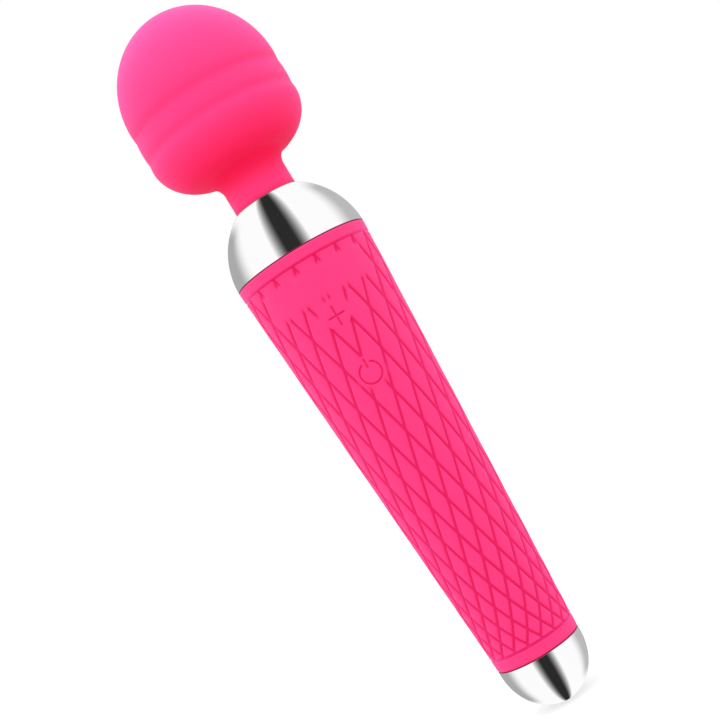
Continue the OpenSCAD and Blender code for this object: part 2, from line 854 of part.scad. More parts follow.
module casing_half(side, boss_r) {
    intersection() {
        difference() {
            casing_solid();
            casing_cavity();
        }
        half(side);
    }
    intersection() {
        union() {
            for (at = casing_screws_at)
                rod(at[0], at[1], side < 0 ? -grip_top_r : 0, side < 0 ? 0 : grip_top_r, boss_r);
            if (side < 0)
                for (z = board_screws_at)
                    rod(0, z, -grip_top_r, -board_depth, board_post_r);
            intersection() {
                for (z = [z_cell + cradle_inset, z_cell_top - cradle_inset - cradle_t])
                    tube(grip_top_r, cell_r + cell_gap, z, z + cradle_t);
                translate([-cell_r, -reach, -reach])
                    cube([cell_d, 2 * reach, 2 * reach]);
            }
        }
        translate([0, 0, z_tail])
            cylinder(r1 = casing_r(z_tail) - casing_wall / 2, r2 = casing_r(z_top) - casing_wall / 2,
                h = sleeve_length);
        half(side);
    }
    intersection() {
        tube(tail_spigot_r - casing_wall / 2, jack_r + slip, z_clamp, z_clamp + clamp_t);
        half(side);
    }
}

module casing_front() {
    color("whitesmoke")
        difference() {
            casing_half(-1, boss_front_r);
            for (z = [z_plus, z_power])
                rod(0, z, -reach, -board_depth, plunger_r + plunger_gap);
            for (at = casing_screws_at)
                rod(at[0], at[1], -screw_reach - hole_extra, 1, screw_r + fit);
            for (z = board_screws_at)
                rod(0, z, -board_depth - board_screw_reach - hole_extra, 1, board_screw_r + fit);
        }
}

module casing_back() {
    color("whitesmoke")
        difference() {
            casing_half(1, boss_back_r);
            for (at = casing_screws_at) {
                rod(at[0], at[1], -1, reach, screw_r + screw_gap);
                rod(at[0], at[1], screw_seat, reach, screw_head_r + screw_gap);
            }
        }
}

module casing_screws() {
    color("silver")
        for (at = casing_screws_at)
            screw(at[0], at[1], screw_seat, -screw_reach, screw_r, screw_head_r, screw_head_t);
}

module tail_cap() {
    start = acos(tip_flat_r / grip_tail_r);
    color("silver")
        rotate_extrude()
            polygon(concat(
                [[jack_bore_d / 2, z_tip]],
                arc(0, tail_c, grip_tail_r, tail_b, -start, 0, 24),
                [[grip_tail_r, z_tail], [tail_seat_r, z_tail], [tail_seat_r, z_seat],
                    [jack_r + slip, z_seat], [jack_r + slip, z_pocket], [jack_bore_d / 2, z_pocket]]));
}

// Charging
module charge_jack() {
    color("black")
        difference() {
            union() {
                translate([0, 0, z_pocket])
                    cylinder(r = jack_r, h = jack_length);
                translate([0, 0, z_seat])
                    cylinder(r = jack_flange_r, h = jack_flange_t);
            }
            translate([0, 0, z_pocket - 1])
                cylinder(d = jack_bore_d, h = jack_bore_depth + 1);
        }
}

module charge_contacts() {
    color("gold")
        for (s = [-1, 1])
            box(contact_size, [s * contact_x, 0, z_jack_top]);
}

module charge_leads() {
    z0 = z_jack_top + contact_size[2] + slip;
    x_end = board_width / 2 - lead_d;
    y_end = lead_r + lead_clear - board_back;
    color("black")
        for (s = [-1, 1])
            lead([
                [s * contact_x, 0, z0],
                [s * contact_x, 0, z0 + lead_d],
                [s * lead_out, -lead_apart, z_tail + tail_screw_rise - boss_back_r],
                [s * lead_out, -lead_apart, z_cell],
                [s * lead_out, -lead_apart, z_cell_top],
                [s * x_end, y_end, z_board],
                [s * x_end, y_end, z_board + 2 * lead_d]]);
}

// Circuit board
module circuit_board() {
    color("seagreen")
        difference() {
            translate([-board_width / 2, -board_depth, z_board])
                cube([board_width, board_t, board_length]);
            for (z = board_screws_at)
                rod(0, z, -reach, 0, board_screw_r + screw_gap);
        }
}

module board_screws() {
    color("silver")
        for (z = board_screws_at)
            screw(0, z, -board_back, -board_depth - board_screw_reach, board_screw_r, board_head_r,
                board_head_t);
}

module key_switches() {
    y = board_depth + switch_height;
    color("dimgray")
        difference() {
            for (z = [z_plus, z_power])
                translate([-switch_size / 2, -y, z - switch_size / 2])
                    cube([switch_size, switch_height, switch_size]);
            for (z = [z_plus, z_power])
                rod(0, z, -y - 1, -y + stem_depth + key_travel + screw_gap, stem_d / 2 + slip);
        }
}

module control_chip() {
    color("black")
        box(chip_size, [0, chip_size[1] / 2 - board_back, z_keys - chip_size[2] / 2]);
}

module status_led() {
    color("white")
        box(led_size, [0, -board_depth - led_size[1] / 2, z_keys - led_size[2] / 2]);
}

module board_plugs() {
    color("white")
        for (z = [z_plus, z_power])
            box(connector_size, [0, plug_y, z - plug_half]);
}

// Rechargeable cell
module battery_cell() {
    color("royalblue") {
        translate([0, 0, z_cell])
            cylinder(d = cell_d, h = cell_length - cell_nub_h);
        translate([0, 0, z_cell_top - cell_nub_h - eps])
            cylinder(r = cell_nub_r, h = cell_nub_h + eps);
    }
}

// The end of a lead that passes over a board screw into its plug, from the screw's side
function into_plug(x, z_screw, z_plug, side) = [
    [x, lead_over_y, z_screw],
    [x, plug_y, z_plug + side * (plug_half + lead_d)],
    [x, plug_y, z_plug + side * (plug_half + slip)]];

module battery_lead_top() {
    color("firebrick")
        lead(concat(
            [[0, 0, z_cell_top + slip], [0, 0, z_cell_top + 2 * lead_d]],
            into_plug(pin_x, board_screws_at[0], z_power, -1)));
}

module battery_lead_tail() {
    z_under = z_cell - lead_d - lead_clear;
    color("black")
        lead(concat(
            [[0, 0, z_cell - slip],
                [-lead_r, 0, z_under + lead_clear],
                [-cell_r / 2, 0, z_under],
                [-lead_out, 0, z_cell],
                [-lead_out, 0, z_cell_top]],
            into_plug(-pin_x, board_screws_at[0], z_power, -1)));
}

module motor_leads_handle() {
    color("firebrick")
        for (s = [-1, 1])
            lead(concat(
                [[s * lead_half, 0, z_stem_low],
                    [s * lead_half, 0, z_slot - lead_d],
                    [s * lead_half, 0, z_top]],
                into_plug(s * pin_x, board_screws_at[1], z_plus, 1)));
}

// Keys
module key_solid(z, d) {
    intersection() {
        translate([0, 0, z_tail])
            cylinder(r1 = grip_tail_r, r2 = grip_top_r, h = sleeve_length, $fn = 360);
        rod(0, z, -reach, -casing_r(z) - key_room, d / 2);
    }
}

module plunger(z) {
    rod(0, z, -casing_r(z) - key_room, plunger_flange_t - flange_y(z), plunger_r);
    rod(0, z, -flange_y(z), plunger_flange_t - flange_y(z), plunger_flange_r);
    rod(0, z, -flange_y(z), -stem_y, plunger_stub_r);
}

module stem(z) {
    rod(0, z, -stem_y, -board_depth - switch_height + stem_depth, stem_d / 2);
}

module plus_key() {
    size = [2 * mark_reach, 2, mark_line];
    at = [0, -grip_r(z_plus) + mark_depth - 1, z_plus - mark_line / 2];
    color("deeppink")
        difference() {
            key_solid(z_plus, plus_d);
            box(size, at);
            box([size[2], size[1], size[0]], [0, at[1], z_plus - mark_reach]);
        }
}

module power_key() {
    z = z_power - power_mark_drop;
    y = -grip_r(z_power) + mark_depth;
    color("deeppink")
        difference() {
            key_solid(z_power, power_d);
            translate([0, y, z])
                rotate([90, 0, 0])
                    rotate([0, 0, 90 + power_mark_open / 2])
                        rotate_extrude(angle = 360 - power_mark_open)
                            translate([mark_reach - mark_line / 2, 0])
                                square([mark_line, 2]);
            box([mark_line, 2, mark_reach], [0, y - 1, z + mark_reach / 2]);
        }
}

module plus_plunger() {
    color("whitesmoke")
        plunger(z_plus);
}

module power_plunger() {
    color("whitesmoke")
        plunger(z_power);
}

module plus_stem() {
    color("black")
        stem(z_plus);
}

module power_stem() {
    color("black")
        stem(z_power);
}

head_cover();
head_core_front();
head_core_back();
head_core_screws();
head_anchor();
motor_can();
motor_end_bell();
motor_terminals();
motor_brushes();
motor_magnets();
motor_bushes();
motor_leads_head();
motor_shaft();
motor_armature();
motor_commutator();
eccentric_weight();
neck_spring();
neck_sleeve();
motor_leads_neck();
neck_anchor();
shoulder_collar();
handle_sleeve();
casing_front();
casing_back();
casing_screws();
tail_cap();
charge_jack();
charge_contacts();
charge_leads();
circuit_board();
board_screws();
key_switches();
control_chip();
status_led();
board_plugs();
battery_cell();
battery_lead_top();
battery_lead_tail();
motor_leads_handle();
plus_key();
plus_plunger();
plus_stem();
power_key();
power_plunger();
power_stem();
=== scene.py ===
"""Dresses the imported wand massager: silicone head, neck, grip and keys, plated collar and tail."""

import json
import math

import bmesh
import bpy
import numpy as np
from bpy.props import FloatProperty, FloatVectorProperty, IntProperty, PointerProperty
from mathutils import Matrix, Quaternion, Vector


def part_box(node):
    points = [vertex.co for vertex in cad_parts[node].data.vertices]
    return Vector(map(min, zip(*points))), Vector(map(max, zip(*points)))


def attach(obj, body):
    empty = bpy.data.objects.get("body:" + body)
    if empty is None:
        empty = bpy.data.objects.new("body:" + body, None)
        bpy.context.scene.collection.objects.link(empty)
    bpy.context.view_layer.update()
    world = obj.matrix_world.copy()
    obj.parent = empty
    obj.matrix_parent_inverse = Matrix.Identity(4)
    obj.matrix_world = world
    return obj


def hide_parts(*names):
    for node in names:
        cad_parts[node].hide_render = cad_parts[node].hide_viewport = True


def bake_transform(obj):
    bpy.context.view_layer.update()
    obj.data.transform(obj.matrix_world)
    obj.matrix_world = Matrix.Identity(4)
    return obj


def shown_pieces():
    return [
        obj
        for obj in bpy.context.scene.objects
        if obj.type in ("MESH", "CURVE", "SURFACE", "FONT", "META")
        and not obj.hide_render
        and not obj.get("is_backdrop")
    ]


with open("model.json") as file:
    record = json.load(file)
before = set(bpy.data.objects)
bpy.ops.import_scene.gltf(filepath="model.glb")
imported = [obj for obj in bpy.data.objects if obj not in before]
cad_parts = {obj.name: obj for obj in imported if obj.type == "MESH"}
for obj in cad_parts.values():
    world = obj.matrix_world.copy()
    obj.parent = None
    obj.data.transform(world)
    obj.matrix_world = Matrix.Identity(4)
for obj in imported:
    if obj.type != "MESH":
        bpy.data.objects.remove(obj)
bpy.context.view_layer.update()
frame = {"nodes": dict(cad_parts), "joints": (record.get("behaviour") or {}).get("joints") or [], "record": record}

bl_info = {
    "name": "Wand Massager",
    "version": (1, 0, 0),
    "blender": (4, 5, 0),
    "location": "View3D > Sidebar > Wand",
    "description": "Dresses the packed wand massager and sets its stage",
    "category": "Object",
}

SHARP = math.radians(38)
# Radius below which a point lies on the axis, and the most of an edge that one rounding takes
ON_AXIS = 1e-6
EDGE_SHARE = 0.45


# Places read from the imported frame

def joint_height(name):
    """Height of a joint's axis on the wand."""
    for joint in frame["joints"]:
        if joint["name"] == name:
            return joint["pos_m"][2]
    raise ValueError(f"the frame has no joint {name}")


SLEEVE_LOW, SLEEVE_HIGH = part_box("handle_sleeve")
COLLAR_LOW, COLLAR_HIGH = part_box("shoulder_collar")
TAIL_LOW, TAIL_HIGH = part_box("tail_cap")
HEAD_LOW, HEAD_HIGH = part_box("head_cover")
NECK_LOW, NECK_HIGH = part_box("neck_sleeve")
SPRING_LOW, SPRING_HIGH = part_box("neck_spring")
LEADS_LOW, LEADS_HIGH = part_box("motor_leads_neck")
PLUS_LOW, PLUS_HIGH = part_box("plus_key")
POWER_LOW, POWER_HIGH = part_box("power_key")
SEAM = (joint_height("neck_nod") + joint_height("neck_sway")) / 2


# Sizes and colours

def length(name, description, default):
    """A length in metres."""
    return FloatProperty(name=name, description=description, default=default, unit="LENGTH",
                         subtype="DISTANCE", precision=5)


def angle(name, description, degrees):
    """An angle, given in degrees."""
    return FloatProperty(name=name, description=description, default=math.radians(degrees),
                         unit="ROTATION", subtype="ANGLE")


def number(name, description, default):
    """A plain number."""
    return FloatProperty(name=name, description=description, default=default, precision=4)


def colour(name, description, default):
    """A linear colour."""
    return FloatVectorProperty(name=name, description=description, default=default, size=3,
                               subtype="COLOR", min=0.0, max=1.0)


class WandSizes(bpy.types.PropertyGroup):
    """Sizes of the outer pieces that the frame's boxes don't give."""

    columns: IntProperty(name="Columns", description="Diamonds round the grip", default=19)
    rows: IntProperty(name="Rows", description="Half rows of diamonds down the grip", default=14)
    facets: IntProperty(name="Facets", description="Even number of steps along a diamond", default=16)
    rim_top: length("Top rim", "Plain rim above the quilting", 0.0032)
    rim_tail: length("Tail rim", "Plain rim below the quilting", 0.0035)
    row_first: number("Row spread", "Even part of the spread of the rows", 0.94)
    row_second: number("Row growth", "Growth of the rows over the grip", 1.608)
    row_third: number("Row closing", "Closing up of the rows towards the tail", -2.413)
    twist: angle("Twist", "Turn of the quilting at the tail", 1.5)
    twist_start: number("Twist start", "Share of the rows at which the turn begins", 0.45)
    groove_width: length("Groove width", "Width of a quilting groove", 0.00115)
    groove_depth: length("Groove depth", "Depth of a quilting groove", 0.00034)
    rim_groove: length("Rim groove", "Depth of the groove at each rim", 0.00014)
    groove_flat: number("Groove flat", "Flat share of a groove's bottom", 0.35)
    crown: length("Crown", "Rise of a diamond's middle over its edge", 0.00008)
    panel_angle: angle("Panel angle", "Half width of the bare panel", 50)
    panel_start: length("Panel start", "Upper edge below the sleeve's top", 0.0057)
    panel_end: length("Panel end", "Lower edge below the sleeve's top", 0.014)
    plus_bare: length("Plus bare", "Radius of the bare patch at the plus key", 0.0045)
    plus_foot: length("Plus foot", "End of that patch below the mark", 0.0022)
    power_bare: length("Power bare", "Radius of the bare patch at the power key", 0.0042)
    fade: length("Fade", "Distance over which a groove runs out", 0.0005)
    sleeve_wall: length("Sleeve wall", "Wall of the grip sleeve", 0.0016)
    hole_gap: length("Key hole gap", "Gap round each key in the frame", 0.0003)
    hairline: length("Hairline", "Gap round each key that shows", 0.000003)
    mark_line: length("Mark line", "Width of the marks' lines", 0.0007)
    mark_depth: length("Mark depth", "Depth of the marks", 0.00022)
    plus_across: length("Plus across", "Reach of the plus mark across the grip", 0.0024)
    plus_along: length("Plus along", "Reach of the plus mark along the grip", 0.0029)
    plus_drop: length("Plus mark drop", "Drop of the plus mark in its key", 0.0003)
    power_ring: length("Power ring", "Radius of the power mark's ring", 0.0028)
    power_drop: length("Power mark drop", "Drop of the power mark in its key", 0.0005)
    power_open: angle("Power mark opening", "Opening at the power mark's top", 50)
    edge: length("Edge", "Rounding of the plated edges", 0.0001)
    sleeve_edge: length("Sleeve edge", "Rounding of the sleeve's ends", 0.00032)
    neck_radius: length("Neck radius", "Outer radius of the neck", 0.0088)
    neck_wall: length("Neck wall", "Wall of the neck", 0.0021)
    neck_flange: length("Neck flange", "Flange held under the collar", 0.0012)
    head_wall: length("Head wall", "Wall of the head cover", 0.0029)
    head_seat: length("Head seat", "Rise of the head's underside over its lower edge", 0.002)
    head_fillet: length("Head fillet", "Rounding between neck and head", 0.0045)
    dome_height: length("Dome height", "Height of the head's dome", 0.0232)
    bulge_height: length("Bulge height", "Height of the head's underside", 0.0113)
    ring_low: length("Low ring", "Lower soft ring above the head's lower edge", 0.015)
    ring_high: length("High ring", "Upper soft ring above the head's lower edge", 0.0218)
    ring_depth: length("Ring depth", "Depth of the soft rings", 0.0002)
    ring_width: length("Ring width", "Half width of the soft rings", 0.0015)
    # Painted shade in the soft rings
    ring_shade: number("Ring tone", "Share of the deeper tone in the soft rings", 0.2)
    # Painted shade in the crease under the head and at the neck's foot by the collar
    crease_rise: length("Crease rise", "Crease under the head above its lower edge", 0.0009)
    crease_width: length("Crease width", "Half width of the deeper tone in that crease", 0.004)
    crease_shade: number("Crease tone", "Share of the deeper tone in that crease", 0.75)
    foot_reach: length("Foot reach", "Length over which the neck's foot deepens", 0.0009)
    foot_shade: number("Foot tone", "Share of the deeper tone at the neck's foot", 0.55)
    bend_reach: length("Bend reach", "Length of each bending half of the neck", 0.0052)
    wire: length("Spring wire", "Wire of the neck spring", 0.0014)
    turns: number("Spring turns", "Turns of the neck spring", 9)
    collar_wall: length("Collar wall", "Wall of the shoulder collar", 0.0016)
    mouth_gap: length("Mouth gap", "Gap between neck and collar", 0.00035)
    tail_straight: length("Tail straight", "Straight rim of the tail cap", 0.0012)
    tail_flat: length("Tail flat", "Radius of the flat at the tail's tip", 0.0026)
    socket: length("Socket", "Radius of the charge socket's mouth", 0.0013)
    parting: length("Parting", "Height of the plating's parting lines", 0.00024)
    parting_depth: length("Parting depth", "Depth of the parting lines", 0.0004)
    # Painted shade at the collar's mouth, where the gap to the neck lies in shade
    lip_shade: length("Lip line", "Unplated line at the collar's mouth", 0.0003)


class WandColours(bpy.types.PropertyGroup):
    """Colours of the pieces that show."""

    silicone: colour("Silicone", "Hot pink silicone", (0.955, 0.0465, 0.214))
    # Painted shade of the grip: the silicone darker in the quilting grooves and the key marks
    silicone_grip_shade: colour("Silicone in grooves", "The same silicone, deeper", (0.68, 0.012, 0.121))
    # Painted shade of the head: the silicone darker in its rings, its crease and at the neck's foot
    silicone_head_shade: colour("Silicone in creases", "The head's silicone, deeper", (0.93, 0.016, 0.1))
    sheen: number("Sheen", "Sheen of the silicone", 0.4)
    groove_sheen: number("Groove sheen", "Sheen in the grip's grooves", 1.0)
    crease_sheen: number("Crease sheen", "Sheen in the head's creases", 0.0)
    sheen_rough: number("Sheen softness", "Roughness of the sheen on the plain silicone", 0.64)
    groove_rough: number("Groove sheen softness", "Roughness of the sheen in the grooves", 0.48)
    sheen_tint: colour("Sheen tint", "Tint of the sheen", (1.0, 0.34, 0.95))
    plating: colour("Plating", "Bright plating", (0.985, 0.98, 0.985))
    # Painted shade: the dark colour of the parting lines and of the line at the collar's mouth
    parting: colour("Parting line", "Unplated edge in the parting lines", (0.32, 0.03, 0.09))
    floor: colour("Floor", "Pale floor", (0.95, 0.95, 0.95))


class WandStage(bpy.types.PropertyGroup):
    """Camera and light."""

    lens: number("Lens", "Focal length in mm on a 36 mm sensor", 67.05)
    camera_place: FloatVectorProperty(name="Camera", description="Where the camera stands",
                                      default=(-0.00074, -0.3453, 0.00875), size=3, unit="LENGTH")
    camera_tilt: angle("Camera tilt", "Tilt of the camera above the level", 3.16)
    camera_roll: angle("Camera roll", "Roll of the camera", -31.17)
    sky_low: number("Light from below", "Soft light from straight below", 1.15)
    sky_tint: colour("Tint from below", "Tint of the light from straight below", (1.0, 0.07, 0.2))
    sky_level: number("Light from the side", "Soft light from the side", 0.97)
    sky_high: number("Light from above", "Soft light from straight above", 1.58)
    lamp: number("Lamp", "Power of the lamp in watts", 1.3)


SCENE_GROUPS = {"wand_sizes": WandSizes, "wand_colours": WandColours, "wand_stage": WandStage}


# Outlines and meshes

def arc(r, z, a, b, start, end, steps):
    """Points of an ellipse's arc, from one angle in degrees to another."""
    turns = np.radians(np.linspace(start, end, steps + 1))
    return [(r + a * math.cos(t), z + b * math.sin(t)) for t in turns]


def line(start, end, steps):
    """Points along a straight line, without its last."""
    return [tuple(p) for p in np.linspace(start, end, steps, endpoint=False)]


def eased(outline, size, steps=4):
    """The closed outline with its sharp corners rounded."""
    points = [Vector(p) for p in outline]
    made = []
    for i, point in enumerate(points):
        before = points[i - 1] - point
        after = points[(i + 1) % len(points)] - point
        turn = math.pi - before.angle(after, math.pi)
        if turn < SHARP or point.x < ON_AXIS:
            made.append(tuple(point))
            continue
        start = point + before.normalized() * min(size, before.length * EDGE_SHARE)
        end = point + after.normalized() * min(size, after.length * EDGE_SHARE)
        for k in range(steps + 1):
            t = k / steps
            made.append(tuple(start * (1 - t) ** 2 + point * (2 * t * (1 - t)) + end * t * t))
    return made


def mesh_object(name, vertices, faces):
    """A smooth-shaded mesh object with its normals outwards."""
    mesh = bpy.data.meshes.new(name)
    mesh.from_pydata([tuple(v) for v in vertices], [], faces)
    made = bmesh.new()
    made.from_mesh(mesh)
    bmesh.ops.recalc_face_normals(made, faces=made.faces)
    made.to_mesh(mesh)
    made.free()
    piece = bpy.data.objects.new(name, mesh)
    bpy.context.scene.collection.objects.link(piece)
    smooth(piece)
    return piece


def smooth(piece):
    """Smooth shading that keeps the sharp edges."""
    piece.data.polygons.foreach_set("use_smooth", [True] * len(piece.data.polygons))
    piece.data.set_sharp_from_angle(angle=SHARP)
    piece.data.update()


def band(low, high, count, shift=0):
    """The faces between two closed rings of points, each given by its first point."""
    faces = []
    for k in range(count):
        n = k + 1
        faces.append((low + (k + shift) % count, low + (n + shift) % count, high + n % count, high + k))
    return faces


def revolve(name, outline, segments=192):
    """A closed solid turned from a closed outline of radius and height."""
    vertices = []
    rings = []
    for r, z in outline:
        if r < ON_AXIS:
            rings.append([len(vertices)] * segments)
            vertices.append((0, 0, z))
            continue
        rings.append(list(range(len(vertices), len(vertices) + segments)))
        for k in range(segments):
            turn = 2 * math.pi * k / segments
            vertices.append((r * math.sin(turn), -r * math.cos(turn), z))
    faces = []
    for i, ring in enumerate(rings):
        after = rings[(i + 1) % len(rings)]
        for k in range(segments):
            n = (k + 1) % segments
            face = list(dict.fromkeys((ring[k], ring[n], after[n], after[k])))
            if len(face) > 2:
                faces.append(face)
    return mesh_object(name, vertices, faces)


def tube(name, path, radius, sides=14):
    """A capped tube along a path."""
    points = [Vector(p) for p in path]
    vertices = []
    side = None
    for i, point in enumerate(points):
        ahead = (points[min(i + 1, len(points) - 1)] - points[max(i - 1, 0)]).normalized()
        side = ahead.orthogonal() if side is None else side - ahead * side.dot(ahead)
        side.normalize()
        across = ahead.cross(side)
        for k in range(sides):
            turn = 2 * math.pi * k / sides
            vertices.append(point + (side * math.cos(turn) + across * math.sin(turn)) * radius)
    faces = [list(range(sides)), list(range(len(vertices) - sides, len(vertices)))]
    for i in range(len(points) - 1):
        faces += band(i * sides, (i + 1) * sides, sides)
    return mesh_object(name, vertices, faces)


def paint(piece, material):
    """Gives a piece its one material."""
    piece.data.materials.clear()
    piece.data.materials.append(material)


def dress(piece, material, slot, *nodes):
    """Gives a piece its material and hides the nodes it stands for; the slot is not used."""
    paint(piece, material)
    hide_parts(*nodes)


def paint_shade(piece, shares):
    """Notes for the material each point's share of painted shade, in recesses, creases and parting lines."""
    note = piece.data.attributes.new("groove", "FLOAT", "POINT")
    note.data.foreach_set("value", np.asarray(shares, dtype=np.float32))
    return piece


# Materials

class Tree:
    """Short calls for the nodes of a material or a world."""

    def __init__(self, owner):
        owner.use_nodes = True
        self.owner = owner
        self.tree = owner.node_tree
        self.tree.nodes.clear()

    def add(self, kind, inputs=None, **settings):
        """One node with its settings and its inputs, each a value or another node's output."""
        node = self.tree.nodes.new(kind)
        for key, value in settings.items():
            setattr(node, key, value)
        for key, value in (inputs or {}).items():
            if isinstance(value, bpy.types.NodeSocket):
                self.tree.links.new(value, node.inputs[key])
            else:
                node.inputs[key].default_value = value
        return node

    def math(self, operation, *values):
        """The output of a calculation."""
        return self.add("ShaderNodeMath", dict(enumerate(values)), operation=operation).outputs[0]

    def span(self, value, low, high, to_low, to_high, kind="LINEAR"):
        """A value moved from one range to another, and held at its ends."""
        inputs = {"Value": value, "From Min": low, "From Max": high, "To Min": to_low, "To Max": to_high}
        return self.add("ShaderNodeMapRange", inputs, interpolation_type=kind).outputs[0]

    def mix(self, share, first, second):
        """A colour between two colours."""
        return self.add("ShaderNodeMix", {0: share, 6: first, 7: second}, data_type="RGBA").outputs[2]

    def noise(self, scale, detail=3.0, stretch=None):
        """Noise in the piece's own space."""
        place = self.add("ShaderNodeTexCoord").outputs["Object"]
        if stretch:
            place = self.add("ShaderNodeMapping", {"Vector": place, "Scale": stretch}).outputs[0]
        inputs = {"Vector": place, "Scale": scale, "Detail": detail}
        return self.add("ShaderNodeTexNoise", inputs).outputs[0]

    def bump(self, height, strength, distance):
        """A normal from a height."""
        inputs = {"Height": height, "Strength": strength, "Distance": distance}
        return self.add("ShaderNodeBump", inputs).outputs[0]

    def close(self, shader, kind="ShaderNodeOutputMaterial"):
        """Ends the tree, and gives its material or world."""
        self.add(kind, {"Surface": shader.outputs[0]})
        return self.owner

    def surface(self, inputs):
        """Ends the tree with the shader of a solid surface."""
        return self.close(self.add("ShaderNodeBsdfPrincipled", inputs))


def new_tree(name):
    """The empty tree of a new material."""
    return Tree(bpy.data.materials.new(name))


def rgba(c, scale=1.0):
    """A colour with its alpha, made lighter or darker."""
    return tuple(min(1.0, v * scale) for v in c) + (1.0,)


def silicone(name, colours, shade_colour, deep_sheen):
    """Satin silicone: a fine grain, a soft sheen, and painted shade in the grooves and creases."""
    tree = new_tree(name)
    cloud = tree.noise(160.0)
    grain = tree.noise(9000.0, 2.0)
    tone = tree.mix(cloud, rgba(colours.silicone, 0.97), rgba(colours.silicone, 1.02))
    groove = tree.add("ShaderNodeAttribute", attribute_name="groove").outputs["Fac"]
    # Painted shade: the colour turns to the darker one by each point's shade share
    tone = tree.mix(groove, tone, rgba(shade_colour))
    return tree.surface({
        "Base Color": tone,
        "Roughness": tree.span(grain, 0.3, 0.7, 0.46, 0.54),
        "Specular IOR Level": 0.04,
        "Sheen Weight": tree.span(groove, 0.0, 1.0, colours.sheen, deep_sheen),
        "Sheen Roughness": tree.span(groove, 0.0, 1.0, colours.sheen_rough, colours.groove_rough),
        "Sheen Tint": rgba(colours.sheen_tint),
        "Normal": tree.bump(grain, 0.05, 0.00002),
    })


def plating(name, colours):
    """Mirror plating with a faint ripple of the moulding under it, and painted shade, dark and matt, in the
    parting lines.
    """
    tree = new_tree(name)
    ripple = tree.noise(70.0, 1.0)
    cloud = tree.noise(240.0)
    tone = tree.mix(cloud, rgba(colours.plating, 0.985), rgba(colours.plating))
    # Painted shade: where the mask is set, a dark matt colour takes the plating's place
    shade_line = tree.add("ShaderNodeAttribute", attribute_name="groove").outputs["Fac"]
    return tree.surface({
        "Base Color": tree.mix(shade_line, tone, rgba(colours.parting)),
        "Metallic": tree.math("SUBTRACT", 1.0, shade_line),
        "Roughness": tree.span(cloud, 0.3, 0.7, 0.03, 0.05),
        "Specular IOR Level": 0.1,
        "Normal": tree.bump(ripple, 0.03, 0.00005),
    })


def moulded(name, base, rough=0.5, scale=700.0, bump=0.1):
    """Moulded plastic with a fine spark-eroded grain."""
    tree = new_tree(name)
    grain = tree.noise(scale)
    fine = tree.noise(scale * 6.0, 2.0)
    return tree.surface({
        "Base Color": tree.mix(grain, rgba(base, 0.92), rgba(base, 1.06)),
        "Roughness": tree.span(fine, 0.3, 0.7, rough - 0.06, rough + 0.06),
        "Normal": tree.bump(fine, bump, 0.00003),
    })


def metal(name, base, rough=0.3, scale=500.0, stretch=(1.0, 1.0, 12.0)):
    """Drawn or turned metal with fine tool lines."""
    tree = new_tree(name)
    lines = tree.noise(scale, 4.0, stretch)
    return tree.surface({
        "Base Color": tree.mix(lines, rgba(base, 0.85), rgba(base, 1.1)),
        "Metallic": 1.0,
        "Roughness": tree.span(lines, 0.3, 0.7, rough - 0.08, rough + 0.1),
        "Normal": tree.bump(lines, 0.12, 0.00002),
    })


def laminate(name, mask, track):
    """Solder mask over copper tracks."""
    tree = new_tree(name)
    place = tree.add("ShaderNodeTexCoord").outputs["Object"]
    cells = tree.add("ShaderNodeTexVoronoi", {"Vector": place, "Scale": 420.0},
                     distance="MANHATTAN", feature="F1").outputs["Distance"]
    lines = tree.span(cells, 0.42, 0.5, 0.0, 1.0)
    fine = tree.noise(3000.0, 2.0)
    return tree.surface({
        "Base Color": tree.mix(lines, rgba(mask), rgba(track)),
        "Roughness": tree.span(fine, 0.3, 0.7, 0.28, 0.4),
        "Normal": tree.bump(lines, 0.25, 0.00003),
    })


def lens_epoxy(name, base):
    """Milky clear epoxy."""
    tree = new_tree(name)
    cloud = tree.noise(900.0)
    return tree.surface({
        "Base Color": tree.mix(cloud, rgba(base, 0.9), rgba(base, 1.05)),
        "Roughness": tree.span(cloud, 0.3, 0.7, 0.08, 0.16),
        "Transmission Weight": 0.6,
        "IOR": 1.5,
    })


# Grip surface

# Share of even spacing in a diamond's grid
GRID_EVEN = 0.24
# Reach of the strip across a rim's groove in half grooves, and of what clears it in strips
RIM_STRIP = 1.25
RIM_CLEAR = 1.3
# Steps across that strip, along the plain rim and round the sleeve's edge
STRIP_STEPS = 10
RIM_STEPS = 4
EDGE_STEPS = 4


def grip_radius(z):
    """Radius of the grip's cone at a height."""
    share = (z - SLEEVE_LOW.z) / (SLEEVE_HIGH.z - SLEEVE_LOW.z)
    return TAIL_HIGH.x + (COLLAR_HIGH.x - TAIL_HIGH.x) * share


def ease(t):
    """A smooth step from 0 to 1."""
    t = np.clip(t, 0.0, 1.0)
    return t * t * (3 - 2 * t)


def groove_share(sizes, away):
    """Share of a groove's depth at a distance from its middle."""
    half = sizes.groove_width / 2
    flat = half * sizes.groove_flat
    return 1 - ease((away - flat) / (half - flat))


def row_height(sizes, n, top, tail):
    """Height of a row of the quilting between its two ends."""
    share = n / sizes.rows
    last = 1 - sizes.row_first - sizes.row_second - sizes.row_third
    spread = 0.0
    for part in (last, sizes.row_third, sizes.row_second, sizes.row_first):
        spread = share * (part + spread)
    return top + (tail - top) * spread


